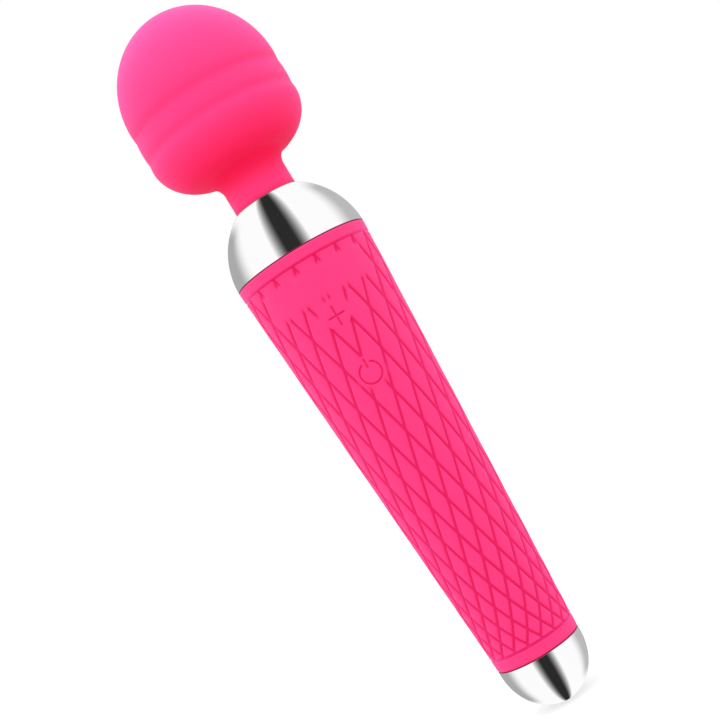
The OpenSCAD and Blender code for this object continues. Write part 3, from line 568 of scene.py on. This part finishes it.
def quilted(sizes, turn, z):
    """1 where the quilting runs, 0 on the bare panel and round the keys."""
    drop = SLEEVE_HIGH.z - z
    across = grip_radius(z) * turn
    fade = sizes.fade
    wide = ease((sizes.panel_angle - np.abs(turn)) * grip_radius(z) / fade + 0.5)
    high = ease((drop - sizes.panel_start) / fade + 0.5)
    low = ease((sizes.panel_end - drop) / fade + 0.5)
    keep = 1 - wide * high * low
    plus = (PLUS_LOW.z + PLUS_HIGH.z) / 2 - sizes.plus_drop
    power = (POWER_LOW.z + POWER_HIGH.z) / 2 - sizes.power_drop
    patches = ((plus, sizes.plus_bare, sizes.plus_foot), (power, sizes.power_bare, sizes.power_bare))
    for height, radius, foot in patches:
        inside = ease((radius - np.hypot(across, z - height)) / fade + 0.5)
        keep = keep * (1 - inside * ease((z - height + foot) / fade + 0.5))
    return keep


def grid_steps(facets):
    """Places of a diamond's grid lines along its edge, closer together at the grooves."""
    half = facets // 2
    t = np.arange(half + 1) / half
    near = 0.5 * (GRID_EVEN * t + (1 - GRID_EVEN) * t ** 3)
    return np.concatenate([near[:-1], 1 - near[::-1]])[:facets]


def lattice_place(sizes, first, second, top, tail):
    """Turn and height of a point between the two families of grooves."""
    n = first - second
    late = np.clip((n / sizes.rows - sizes.twist_start) / (1 - sizes.twist_start), 0.0, 1.0)
    turn = (first + second + 1) * math.pi / sizes.columns + sizes.twist * late
    turn = (turn + math.pi) % (2 * math.pi) - math.pi
    return turn, row_height(sizes, n, top, tail)


def quilt(sizes, top, tail):
    """Turn, height, radius and groove share of the quilted field, by row and place round."""
    facets = sizes.facets
    around = sizes.columns * facets
    steps = grid_steps(facets)
    v, j = np.meshgrid(np.arange(sizes.rows * facets + 1), np.arange(around), indexing="ij")
    i = j + v
    first = i // facets + steps[i % facets]
    second = j // facets + steps[j % facets]
    turn, z = lattice_place(sizes, first, second, top, tail)
    n = first - second
    step = 1e-3
    high = np.abs(row_height(sizes, n + step, top, tail) - row_height(sizes, n - step, top, tail))
    high = high / (2 * step)
    wide = grip_radius(z) * math.pi / sizes.columns
    across = 2 * wide * high / np.hypot(wide, high)
    near_first = np.abs(first - np.round(first)) * across
    near_second = np.abs(second - np.round(second)) * across
    uncut = 1.0
    grooves = ((near_first, np.round(first), second), (near_second, first, np.round(second)))
    for near, on_first, on_second in grooves:
        keep = quilted(sizes, *lattice_place(sizes, on_first, on_second, top, tail))
        uncut = uncut * (1 - keep * groove_share(sizes, near))
    pillow = np.exp(-near_first / sizes.groove_width) + np.exp(-near_second / sizes.groove_width)
    crown = sizes.crown * quilted(sizes, turn, z) * np.minimum(pillow, 1.0)
    depth = sizes.groove_depth * (1 - uncut) + crown
    # The groove share also sets the painted shade in the grooves
    return turn, z, grip_radius(z) - depth, 1 - uncut


def sleeve_ring(turns, height, radius, cut=0.0):
    """A ring of the sleeve's points: their turns, heights, radii and groove shares."""
    even = np.zeros(len(turns))
    return turns, even + height, even + radius, even + cut


def rim_groove(sizes, heights, middle, turns, cut):
    """The rings across a rim's groove, in which the quilting's grooves end."""
    rings = []
    for height in heights:
        rim_cut = groove_share(sizes, abs(height - middle))
        end_cut = cut * (abs(height) < abs(middle))
        depth = np.maximum(sizes.rim_groove * rim_cut, sizes.groove_depth * end_cut)
        share = np.maximum(rim_cut, end_cut)
        rings.append(sleeve_ring(turns, height, grip_radius(height) - depth, share))
    return rings


def plain_rim(sizes, end, inwards, clear, turns):
    """The rings from the sleeve's inner wall round one end's edge and along its plain rim."""
    edge = sizes.sleeve_edge
    radius = grip_radius(end)
    rings = [sleeve_ring(turns, end, radius - sizes.sleeve_wall)]
    for k in range(EDGE_STEPS + 1):
        lean = math.pi / 2 * (1 - k / EDGE_STEPS)
        height = end + inwards * (edge - edge * math.sin(lean))
        rings.append(sleeve_ring(turns, height, radius - edge + edge * math.cos(lean)))
    for height in np.linspace(end + inwards * 2 * edge, clear, RIM_STEPS):
        rings.append(sleeve_ring(turns, height, grip_radius(height)))
    return rings


def sleeve_mesh(sizes):
    """The sleeve's points, faces and groove shares, from ring to ring down the grip."""
    strip = sizes.groove_width / 2 * RIM_STRIP
    top = SLEEVE_HIGH.z - sizes.rim_top
    tail = SLEEVE_LOW.z + sizes.rim_tail
    turn, z, r, cut = quilt(sizes, top - strip, tail + strip)
    offsets = strip * np.linspace(1, -1, STRIP_STEPS + 1)
    upper = plain_rim(sizes, SLEEVE_HIGH.z, -1, top + strip * RIM_CLEAR, turn[0])
    upper += rim_groove(sizes, top + offsets[:-1], top, turn[0], cut[0])
    lower = rim_groove(sizes, tail + offsets[1:], tail, turn[-1], cut[-1])
    lower += plain_rim(sizes, SLEEVE_LOW.z, 1, tail - strip * RIM_CLEAR, turn[-1])[::-1]
    rings = upper + list(zip(turn, z, r, cut)) + lower
    turns, heights, radii, shares = (np.array(part) for part in zip(*rings))
    points = np.stack([radii * np.sin(turns), -radii * np.cos(turns), heights], axis=-1)
    count = turn.shape[1]
    first = len(upper)
    last = first + len(turn) - 1
    end = len(rings) - 1
    shift = sizes.rows // 2 * sizes.facets
    faces = []
    for i in list(range(first)) + list(range(last, end)):
        faces += band(i * count, (i + 1) * count, count)
    for i in range(first, last + 1):
        for k in range(count):
            corners = [(i, k), (i + 1, k), (i, k + 1), (i - 1, k + 1)]
            if i == first:
                corners.pop(3)
            if i == last:
                corners.pop(1)
            faces.append([ring * count + place % count for ring, place in corners])
    faces += band(0, end * count, count, shift)
    return points.reshape(-1, 3), faces, shares.reshape(-1)


# Most that the normal of a key hole's wall leans towards the hole's axis
WALL_LEAN = 0.3


def round_hole(sleeve, centre, radius):
    """Cuts a round key hole along Y."""
    outside = -1.5 * COLLAR_HIGH.x
    inside = -0.5 * COLLAR_HIGH.x
    vertices = []
    sides = 128
    for y in (outside, inside):
        for k in range(sides):
            turn = 2 * math.pi * k / sides
            vertices.append((radius * math.cos(turn), y, centre + radius * math.sin(turn)))
    faces = [list(range(sides)), list(range(sides, 2 * sides))] + band(0, sides, sides)
    cutter = mesh_object("hole_cutter", vertices, faces)
    cut = sleeve.modifiers.new("key_hole", "BOOLEAN")
    cut.operation = "DIFFERENCE"
    cut.solver = "EXACT"
    cut.object = cutter
    graph = bpy.context.evaluated_depsgraph_get()
    made = bpy.data.meshes.new_from_object(sleeve.evaluated_get(graph))
    sleeve.modifiers.clear()
    sleeve.data = made
    bpy.data.objects.remove(cutter)


def split_walls(piece):
    """Splits the key holes' wall faces round their middles, so that none folds onto the grip."""
    made = bmesh.new()
    made.from_mesh(piece.data)
    walls = [face for face in made.faces if len(face.verts) > 4 and abs(face.normal.y) < WALL_LEAN]
    bmesh.ops.poke(made, faces=walls)
    made.to_mesh(piece.data)
    made.free()


# Key marks

# Half width of a mark's flat bottom and width of its slopes, in widths of its line
MARK_FLAT = 0.2
MARK_SLOPE = 0.4
# Ends of the power mark's bar, in radii of its ring
BAR_LOW = 0.55
BAR_HIGH = 1.3


def stroke(away, line_width):
    """Depth share of a line at a distance from its middle."""
    return 1 - ease((away - line_width * MARK_FLAT) / (line_width * MARK_SLOPE))


def plus_mark(sizes, x, z):
    """Depth share of the plus mark."""
    z = z + sizes.plus_drop
    away_x = np.hypot(np.maximum(np.abs(x) - sizes.plus_across + sizes.mark_line / 2, 0), z)
    away_z = np.hypot(np.maximum(np.abs(z) - sizes.plus_along + sizes.mark_line / 2, 0), x)
    return np.maximum(stroke(away_x, sizes.mark_line), stroke(away_z, sizes.mark_line))


def power_mark(sizes, x, z):
    """Depth share of the power mark: an open ring with a bar in the opening."""
    z = z + sizes.power_drop
    ring = sizes.power_ring
    turn = np.abs(np.arctan2(x, z))
    half = sizes.power_open / 2
    end = np.hypot(np.abs(x) - ring * math.sin(half), z - ring * math.cos(half))
    away = np.where(turn > half, np.abs(np.hypot(x, z) - ring), end)
    bar = np.hypot(x, z - np.clip(z, ring * BAR_LOW, ring * BAR_HIGH))
    return np.maximum(stroke(away, sizes.mark_line), stroke(bar, sizes.mark_line))


def key_mesh(name, low, high, sizes, mark):
    """A key top with its mark, flush with the grip's cone."""
    middle = (low.z + high.z) / 2
    radius = (high.x - low.x) / 2 + sizes.hole_gap - sizes.hairline
    around = 192
    rings = 72
    rho = radius * np.arange(1, rings + 1) / rings
    turn = 2 * math.pi * np.arange(around) / around
    x = np.append(0.0, np.outer(rho, np.cos(turn)))
    up = np.append(0.0, np.outer(rho, np.sin(turn)))
    z = middle + up
    share = mark(sizes, x, up)
    y = -np.sqrt((grip_radius(z) - sizes.mark_depth * share) ** 2 - x ** 2)
    vertices = list(zip(x, y, z))
    faces = [(0, 1 + k, 1 + (k + 1) % around) for k in range(around)]
    for i in range(rings - 1):
        faces += band(1 + i * around, 1 + (i + 1) * around, around)
    back = len(vertices)
    rim = back - around
    vertices += [(p[0], high.y, p[2]) for p in vertices[rim:]]
    faces += band(rim, back, around) + [list(range(back, back + around))]
    # The mark's depth share gives it painted shade, as in the grip's grooves
    return paint_shade(mesh_object(name, vertices, faces), list(share) + [0.0] * around)


# Head, neck, collar and tail

def crease(sizes, z):
    """Share of painted shade at a height: in the crease under the head and at the neck's foot."""
    away = (z - HEAD_LOW.z - sizes.crease_rise) / sizes.crease_width
    above = max(z - COLLAR_HIGH.z, 0.0) / sizes.foot_reach
    return sizes.crease_shade * math.exp(-away * away) + sizes.foot_shade * math.exp(-above)


def bend(piece, half):
    """Bakes a piece's transform, the same for the lower and the upper half of the neck."""
    if half == "lower":
        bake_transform(piece)
    else:
        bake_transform(piece)


def soft_ring(sizes, z):
    """Share of the soft rings' depth at a height."""
    rise = z - HEAD_LOW.z
    away = ((rise - height) / sizes.ring_width for height in (sizes.ring_low, sizes.ring_high))
    return sum(math.exp(-a * a) for a in away)


def head_fillet(sizes, wide, bulge):
    """Angle at which the rounding meets the head's underside, and the height of its middle."""
    lean = 0.0
    for _ in range(12):
        share = sizes.head_fillet * (1 - math.sin(lean)) / wide
        lean = math.atan(sizes.bulge_height / wide * share / math.sqrt(1 - share * share))
    meets = bulge - sizes.bulge_height * math.sqrt(1 - share * share)
    return math.degrees(lean), meets - sizes.head_fillet * math.cos(lean)


def head_outside(sizes):
    """Outline from the neck's seam up over the head to its crown, with the soft rings."""
    head = HEAD_HIGH.x
    neck = sizes.neck_radius
    fillet = sizes.head_fillet
    bulge = HEAD_LOW.z + sizes.head_seat + sizes.bulge_height
    dome = HEAD_HIGH.z - sizes.dome_height
    lean, low = head_fillet(sizes, head - neck, bulge)
    start = math.degrees(math.acos(fillet * (1 - math.sin(math.radians(lean))) / (head - neck)))
    outline = line((neck, SEAM), (neck, low), 12)
    outline += arc(neck + fillet, low, fillet, fillet, 180, 90 + lean, 20)
    outline += arc(neck, bulge, head - neck, sizes.bulge_height, -start, 0, 56)[1:]
    outline += line((head, bulge), (head, dome), 60)[1:]
    outline += arc(0, dome, head, sizes.dome_height, 0, 90, 80)[:-1]
    return [(r - sizes.ring_depth * soft_ring(sizes, z), z) for r, z in outline] + [(0.0, HEAD_HIGH.z)]


def head_inside(sizes):
    """Outline of the inside, from the crown back to the neck's seam."""
    wall = sizes.head_wall
    neck = sizes.neck_radius
    bore = neck - sizes.neck_wall
    wide = HEAD_HIGH.x - wall
    shoulder = HEAD_LOW.z + sizes.head_seat
    bulge = shoulder + sizes.bulge_height
    dome = HEAD_HIGH.z - sizes.dome_height
    outline = [(0.0, HEAD_HIGH.z - wall)]
    outline += arc(0, dome, wide, sizes.dome_height - wall, 90, 0, 32)[1:]
    outline += arc(neck, bulge, wide - neck, sizes.bulge_height - wall, 0, -90, 24)
    outline += [(bore, shoulder + wall)]
    return outline + line((bore, shoulder), (bore, SEAM), 16) + [(bore, SEAM)]


def collar_piece(sizes):
    """The collar: an elliptical shell from the sleeve up to the neck."""
    wide = COLLAR_HIGH.x
    mouth = sizes.neck_radius + sizes.mouth_gap
    tall = (COLLAR_HIGH.z - COLLAR_LOW.z) / math.sqrt(1 - (mouth / wide) ** 2)
    start = math.degrees(math.asin(sizes.parting / tall))
    end = math.degrees(math.acos(mouth / wide))
    recess = wide - sizes.parting_depth
    outline = [(recess, COLLAR_LOW.z), (recess, COLLAR_LOW.z + sizes.parting)]
    outline += arc(0, COLLAR_LOW.z, wide, tall, start, end, 72)
    wall = sizes.collar_wall
    top = math.degrees(math.acos(mouth / (wide - wall)))
    outline += arc(0, COLLAR_LOW.z, wide - wall, tall - wall, top, 0, 36)
    return revolve("plated_collar", eased(outline, sizes.edge))


def tail_piece(sizes):
    """The tail cap: a straight rim and a rounded end with the charge socket's mouth."""
    wide = TAIL_HIGH.x
    rim = TAIL_HIGH.z - sizes.tail_straight
    fall = (rim - TAIL_LOW.z) / math.sqrt(1 - (sizes.tail_flat / wide) ** 2)
    end = -math.degrees(math.acos(sizes.tail_flat / wide))
    wall = sizes.collar_wall
    step = TAIL_HIGH.z - sizes.parting
    recess = wide - sizes.parting_depth
    outline = [(recess, TAIL_HIGH.z), (recess, step), (wide, step)]
    outline += arc(0, rim, wide, fall, 0, end, 72)
    outline += [(sizes.socket, TAIL_LOW.z)]
    inner = arc(0, rim, wide - wall, fall - wall, 0, -80, 40)[::-1]
    outline += [(sizes.socket, inner[0][1])] + inner + [(wide - wall, TAIL_HIGH.z)]
    return revolve("plated_tail", eased(outline, sizes.edge))


# Stage

# Half width of the floor, and the share of plain white that the camera sees in it
FLOOR_HALF = 6.0
FLOOR_GLOW = 0.6
# Diameter of the lamp, where it hangs and where it points
LAMP_SIZE = 0.5
LAMP_PLACE = (-0.06, -0.35, 0.6)
LAMP_AIM = (0.0, 0.0, 0.05)
# Heights over which the soft light goes from below to level, and from level to above
SKY_FROM_BELOW = (-0.8, 0.1)
SKY_FROM_LEVEL = (-0.1, 1.0)
# The mirrored studio's axis: how far back and how high it lies, and the least depth before it
STUDIO_BACK = 0.975
STUDIO_RISE = 0.2
STUDIO_LEAST = 0.002
# Its dark strip: turn, half widths of its core and its soft edges, tone, and fall of the tone
STRIP_TURN = math.radians(-0.9)
STRIP_WIDTHS = (math.radians(5.2), math.radians(15.9))
STRIP_TONE = 0.18
STRIP_FALL = 2.2
# Its grey wedges: turns over which they begin, and steepness over which they run out
WEDGE_TURNS = (math.radians(40), math.radians(61))
WEDGE_STEEP = (0.52, 0.77)
# Depths over which they close behind the wand, places from left to right, and their greys there
WEDGE_BEHIND = (0.02, 0.06)
WEDGE_SIDES = (-0.2, 0.2)
WEDGE_GREYS = (0.41, 0.5)


def add_floor(colours):
    """A wide pale floor under the tail, which the mirror plating and the soft light look past."""
    half = FLOOR_HALF
    z = TAIL_LOW.z
    corners = [(-half, -half, z), (half, -half, z), (half, half, z), (-half, half, z)]
    floor = mesh_object("floor", corners, [(0, 1, 2, 3)])
    tree = new_tree("pale floor")
    cloud = tree.noise(3.0)
    matt = tree.add("ShaderNodeBsdfDiffuse", {
        "Color": tree.mix(cloud, rgba(colours.floor, 0.995), rgba(colours.floor, 1.005)),
    })
    glow = tree.add("ShaderNodeEmission", {"Strength": 1.0})
    seen = tree.add("ShaderNodeLightPath").outputs["Is Camera Ray"]
    share = tree.math("MULTIPLY", seen, FLOOR_GLOW)
    shader = tree.add("ShaderNodeMixShader", {0: share, 1: matt.outputs[0], 2: glow.outputs[0]})
    paint(floor, tree.close(shader))
    floor.visible_glossy = False
    floor.visible_diffuse = False
    floor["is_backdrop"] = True


def studio_light(tree, part):
    """Brightness of the studio: white, a dark upright strip in front and grey wedges at the sides."""
    front = tree.math("MAXIMUM", tree.math("SUBTRACT", STUDIO_BACK, part["Y"]), STUDIO_LEAST)
    up = tree.math("SUBTRACT", tree.math("ABSOLUTE", part["Z"]), STUDIO_RISE)
    turn = tree.math("ARCTAN2", part["X"], front)
    aside = tree.math("ABSOLUTE", tree.math("SUBTRACT", turn, STRIP_TURN))
    shade = tree.span(aside, *STRIP_WIDTHS, STRIP_TONE, 1.0)
    strip = tree.math("POWER", shade, STRIP_FALL)
    whole = tree.add("ShaderNodeCombineXYZ", {0: part["X"], 1: front, 2: up}).outputs[0]
    whole = tree.add("ShaderNodeVectorMath", {0: whole}, operation="LENGTH").outputs["Value"]
    steep = tree.math("ABSOLUTE", tree.math("DIVIDE", up, whole))
    beside = tree.span(tree.math("ABSOLUTE", turn), *WEDGE_TURNS, 0.0, 1.0, "SMOOTHSTEP")
    level = tree.span(steep, *WEDGE_STEEP, 1.0, 0.0, "SMOOTHSTEP")
    behind = tree.span(front, *WEDGE_BEHIND, 1.0, 0.0)
    amount = tree.math("MAXIMUM", tree.math("MULTIPLY", beside, level), behind)
    grey = tree.span(part["X"], *WEDGE_SIDES, *WEDGE_GREYS)
    wedge = tree.span(amount, 0.0, 1.0, 1.0, grey)
    return tree.math("MULTIPLY", strip, wedge)


def add_world(scene, stage):
    """White for the camera, a soft sky for the light and a studio for the plating to mirror."""
    world = bpy.data.worlds.new("studio")
    scene.world = world
    tree = Tree(world)
    ray = tree.add("ShaderNodeLightPath")
    place = tree.add("ShaderNodeTexCoord").outputs["Generated"]
    part = tree.add("ShaderNodeSeparateXYZ", {0: place}).outputs
    level = tree.span(part["Z"], *SKY_FROM_BELOW, 0.0, 1.0, "SMOOTHSTEP")
    below = tree.span(level, 0.0, 1.0, stage.sky_low, stage.sky_level)
    above = tree.span(part["Z"], *SKY_FROM_LEVEL, 0.0, stage.sky_high - stage.sky_level)
    sky = tree.math("ADD", below, above)
    studio = studio_light(tree, part)
    glossy = tree.math("MULTIPLY", ray.outputs["Is Glossy Ray"], studio)
    camera = tree.math("MAXIMUM", ray.outputs["Is Camera Ray"], ray.outputs["Is Transmission Ray"])
    shown = tree.math("MAXIMUM", camera, glossy)
    either = tree.math("MAXIMUM", camera, ray.outputs["Is Glossy Ray"])
    other = tree.math("SUBTRACT", 1.0, either)
    strength = tree.math("ADD", shown, tree.math("MULTIPLY", other, sky))
    tint = tree.mix(tree.math("MAXIMUM", level, either), rgba(stage.sky_tint), (1, 1, 1, 1))
    shader = tree.add("ShaderNodeBackground", {"Color": tint, "Strength": strength})
    tree.close(shader, "ShaderNodeOutputWorld")


def add_lamp(stage):
    """A soft lamp high over the head."""
    data = bpy.data.lights.new("soft_lamp", "AREA")
    data.shape = "DISK"
    data.size = LAMP_SIZE
    data.energy = stage.lamp
    lamp = bpy.data.objects.new("soft_lamp", data)
    lamp.location = LAMP_PLACE
    ahead = Vector(LAMP_AIM) - lamp.location
    lamp.rotation_euler = ahead.to_track_quat("-Z", "Y").to_euler()
    lamp.visible_glossy = False
    bpy.context.scene.collection.objects.link(lamp)


def add_camera(scene, stage):
    """The camera, at the photograph's angle."""
    data = bpy.data.cameras.new("camera")
    data.lens = stage.lens
    data.sensor_width = 36.0
    data.clip_start = 0.01
    camera = bpy.data.objects.new("camera", data)
    camera.location = stage.camera_place
    camera.rotation_mode = "QUATERNION"
    up = Quaternion((1, 0, 0), math.pi / 2 + stage.camera_tilt)
    camera.rotation_quaternion = up @ Quaternion((0, 0, 1), stage.camera_roll)
    scene.collection.objects.link(camera)
    scene.camera = camera


# Operators

class WAND_OT_head(bpy.types.Operator):
    """Makes the silicone head with the upper half of the neck"""

    bl_idname = "wand.head"
    bl_label = "Silicone head"

    def execute(self, context):
        sizes = context.scene.wand_sizes
        piece = revolve("silicone_head", head_outside(sizes) + head_inside(sizes))
        heights = [v.co.z for v in piece.data.vertices]
        # Painted shade in the soft rings, in the crease under the head and at the neck's foot
        paint_shade(piece, [sizes.ring_shade * soft_ring(sizes, z) + crease(sizes, z) for z in heights])
        colours = context.scene.wand_colours
        rubber = silicone("head silicone", colours, colours.silicone_head_shade, colours.crease_sheen)
        dress(piece, rubber, "head_silicone", "head_cover")
        bend(piece, "upper")
        return {"FINISHED"}


class WAND_OT_neck(bpy.types.Operator):
    """Makes the lower half of the silicone neck with the flange held under the collar"""

    bl_idname = "wand.neck"
    bl_label = "Silicone neck"

    def execute(self, context):
        sizes = context.scene.wand_sizes
        neck = sizes.neck_radius
        bore = neck - sizes.neck_wall
        step = NECK_LOW.z + sizes.neck_flange
        outline = [(bore, NECK_LOW.z), (NECK_HIGH.x, NECK_LOW.z), (NECK_HIGH.x, step)]
        outline += line((neck, step), (neck, SEAM), 28) + [(neck, SEAM)]
        outline += line((bore, SEAM), (bore, NECK_LOW.z), 28)
        piece = revolve("silicone_neck", outline)
        # Painted shade at the neck's foot and in the crease under the head
        paint_shade(piece, [crease(sizes, v.co.z) for v in piece.data.vertices])
        dress(piece, bpy.data.materials["head silicone"], "head_silicone", "neck_sleeve")
        bend(piece, "lower")
        return {"FINISHED"}


class WAND_OT_neck_insides(bpy.types.Operator):
    """Makes the spring and the leads in the neck in two halves each"""

    bl_idname = "wand.neck_insides"
    bl_label = "Neck spring and leads"

    def execute(self, context):
        sizes = context.scene.wand_sizes
        low = SPRING_LOW.z + sizes.wire / 2
        high = SPRING_HIGH.z - sizes.wire / 2
        coil = SPRING_HIGH.x - sizes.wire / 2
        middle = (SEAM - low) / (high - low)
        steel = metal("spring steel", (0.5, 0.51, 0.52), 0.28)
        red = moulded("lead insulation", (0.6, 0.03, 0.025), 0.45)
        lead = (LEADS_HIGH.y - LEADS_LOW.y) / 2
        place = LEADS_HIGH.x - lead
        halves = (("lower", 0.0, middle, LEADS_LOW.z, SEAM), ("upper", middle, 1.0, SEAM, LEADS_HIGH.z))
        for half, start, end, lead_low, lead_high in halves:
            path = []
            for t in np.linspace(start, end, int(sizes.turns * 18)):
                turn = 2 * math.pi * sizes.turns * t
                path.append((coil * math.cos(turn), coil * math.sin(turn), low + (high - low) * t))
            spring = tube(f"neck_spring_{half}", path, sizes.wire / 2)
            dress(spring, steel, "steel", "neck_spring")
            bend(spring, half)
            for side, x in (("a", -place), ("b", place)):
                run = [(x, 0, z) for z in np.linspace(lead_low, lead_high, 12)]
                piece = tube(f"neck_lead_{half}_{side}", run, lead, 16)
                dress(piece, red, "lead_red", "motor_leads_neck")
                bend(piece, half)
        return {"FINISHED"}


class WAND_OT_plated(bpy.types.Operator):
    """Makes the plated shoulder collar and tail cap"""

    bl_idname = "wand.plated"
    bl_label = "Plated collar and tail cap"

    def execute(self, context):
        sizes = context.scene.wand_sizes
        chrome = plating("plating", context.scene.wand_colours)
        shade_line = sizes.parting + sizes.edge / 4
        # Height above which the collar's mouth gets painted shade
        lip = COLLAR_HIGH.z - sizes.lip_shade
        collar = (collar_piece(sizes), "shoulder_collar", SLEEVE_HIGH.z)
        tail = (tail_piece(sizes), "tail_cap", SLEEVE_LOW.z)
        for piece, node, edge in (collar, tail):
            dress(piece, chrome, "plated_plastic", node)
            heights = [v.co.z for v in piece.data.vertices]
            # Painted shade in the parting lines and in the line at the collar's mouth
            paint_shade(piece, [float(abs(z - edge) < shade_line or z > lip) for z in heights])
            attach(piece, "handle")
        return {"FINISHED"}


class WAND_OT_grip(bpy.types.Operator):
    """Makes the quilted grip sleeve with its key holes"""

    bl_idname = "wand.grip"
    bl_label = "Quilted grip sleeve"

    def execute(self, context):
        sizes = context.scene.wand_sizes
        vertices, faces, cut = sleeve_mesh(sizes)
        # The groove shares give the painted shade in the grooves
        piece = paint_shade(mesh_object("quilted_sleeve", vertices, faces), cut)
        for low, high in ((PLUS_LOW, PLUS_HIGH), (POWER_LOW, POWER_HIGH)):
            round_hole(piece, (low.z + high.z) / 2, (high.x - low.x) / 2 + sizes.hole_gap)
        split_walls(piece)
        smooth(piece)
        colours = context.scene.wand_colours
        rubber = silicone("grip silicone", colours, colours.silicone_grip_shade, colours.groove_sheen)
        dress(piece, rubber, "grip_silicone", "handle_sleeve")
        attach(piece, "handle")
        return {"FINISHED"}


class WAND_OT_keys(bpy.types.Operator):
    """Makes the two key tops with their marks"""

    bl_idname = "wand.keys"
    bl_label = "Key tops"

    def execute(self, context):
        sizes = context.scene.wand_sizes
        rubber = bpy.data.materials["grip silicone"]
        plus = ("plus_key_top", "plus_key", "plus_button", PLUS_LOW, PLUS_HIGH, plus_mark)
        power = ("power_key_top", "power_key", "power_button", POWER_LOW, POWER_HIGH, power_mark)
        for name, node, body, low, high, mark in (plus, power):
            piece = key_mesh(name, low, high, sizes, mark)
            dress(piece, rubber, "grip_silicone", node)
            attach(piece, body)
        return {"FINISHED"}


class WAND_OT_insides(bpy.types.Operator):
    """Gives the pieces inside the wand their materials"""

    bl_idname = "wand.insides"
    bl_label = "Inner pieces"

    def execute(self, context):
        finishes = {
            "casing_plastic": moulded("casing plastic", (0.82, 0.82, 0.8), 0.5),
            "core_plastic": moulded("core plastic", (0.78, 0.74, 0.64), 0.52),
            "steel": metal("bright steel", (0.55, 0.56, 0.57)),
            "sintered_weight": metal("sintered steel", (0.16, 0.165, 0.18), 0.55, 1500.0, (1, 1, 1)),
            "winding_copper": metal("winding copper", (0.58, 0.22, 0.1), 0.3, 260.0, (1, 1, 9)),
            "magnet_ferrite": moulded("ferrite", (0.05, 0.05, 0.052), 0.6, 1500.0, 0.3),
            "brass": metal("turned brass", (0.66, 0.44, 0.14), 0.25),
            "black_plastic": moulded("black plastic", (0.02, 0.02, 0.022), 0.48),
            "board_laminate": laminate("board laminate", (0.01, 0.11, 0.04), (0.03, 0.26, 0.1)),
            "clear_lens": lens_epoxy("clear epoxy", (0.88, 0.9, 0.86)),
            "plug_nylon": moulded("plug nylon", (0.84, 0.82, 0.74), 0.4),
            "cell_wrap": moulded("cell wrap", (0.03, 0.09, 0.4), 0.22, 90.0, 0.2),
            "lead_red": bpy.data.materials["lead insulation"],
            "lead_black": moulded("black insulation", (0.025, 0.025, 0.027), 0.45),
        }
        slots = {part["node"]: part["material_slot"] for part in frame["record"]["subparts"]}
        for node, piece in frame["nodes"].items():
            if not piece.hide_render:
                paint(piece, finishes[slots[node]])
        return {"FINISHED"}


class WAND_OT_stage(bpy.types.Operator):
    """Sets the pale floor, the soft light and the camera"""

    bl_idname = "wand.stage"
    bl_label = "Stage"

    def execute(self, context):
        stage = context.scene.wand_stage
        add_floor(context.scene.wand_colours)
        add_world(context.scene, stage)
        add_lamp(stage)
        add_camera(context.scene, stage)
        context.scene.view_settings.view_transform = "Standard"
        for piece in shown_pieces():
            piece.visible_glossy = piece.name.startswith("plated")
        return {"FINISHED"}


STEPS = (WAND_OT_head, WAND_OT_neck, WAND_OT_neck_insides, WAND_OT_plated, WAND_OT_grip, WAND_OT_keys,
         WAND_OT_insides, WAND_OT_stage)


class WAND_PT_sidebar(bpy.types.Panel):
    """Lists the wand's steps in the sidebar"""

    bl_label = "Wand Massager"
    bl_idname = "WAND_PT_sidebar"
    bl_space_type = "VIEW_3D"
    bl_region_type = "UI"
    bl_category = "Wand"

    def draw(self, context):
        for step in STEPS:
            self.layout.operator(step.bl_idname)


def register():
    for group in SCENE_GROUPS.values():
        bpy.utils.register_class(group)
    for name, group in SCENE_GROUPS.items():
        setattr(bpy.types.Scene, name, PointerProperty(type=group))
    for step in STEPS:
        bpy.utils.register_class(step)
    bpy.utils.register_class(WAND_PT_sidebar)


def unregister():
    bpy.utils.unregister_class(WAND_PT_sidebar)
    for step in reversed(STEPS):
        bpy.utils.unregister_class(step)
    for name, group in SCENE_GROUPS.items():
        delattr(bpy.types.Scene, name)
        bpy.utils.unregister_class(group)


def main():
    register()
    for step in STEPS:
        group, name = step.bl_idname.split(".")
        getattr(getattr(bpy.ops, group), name)()


if __name__ == "__main__":
    main()
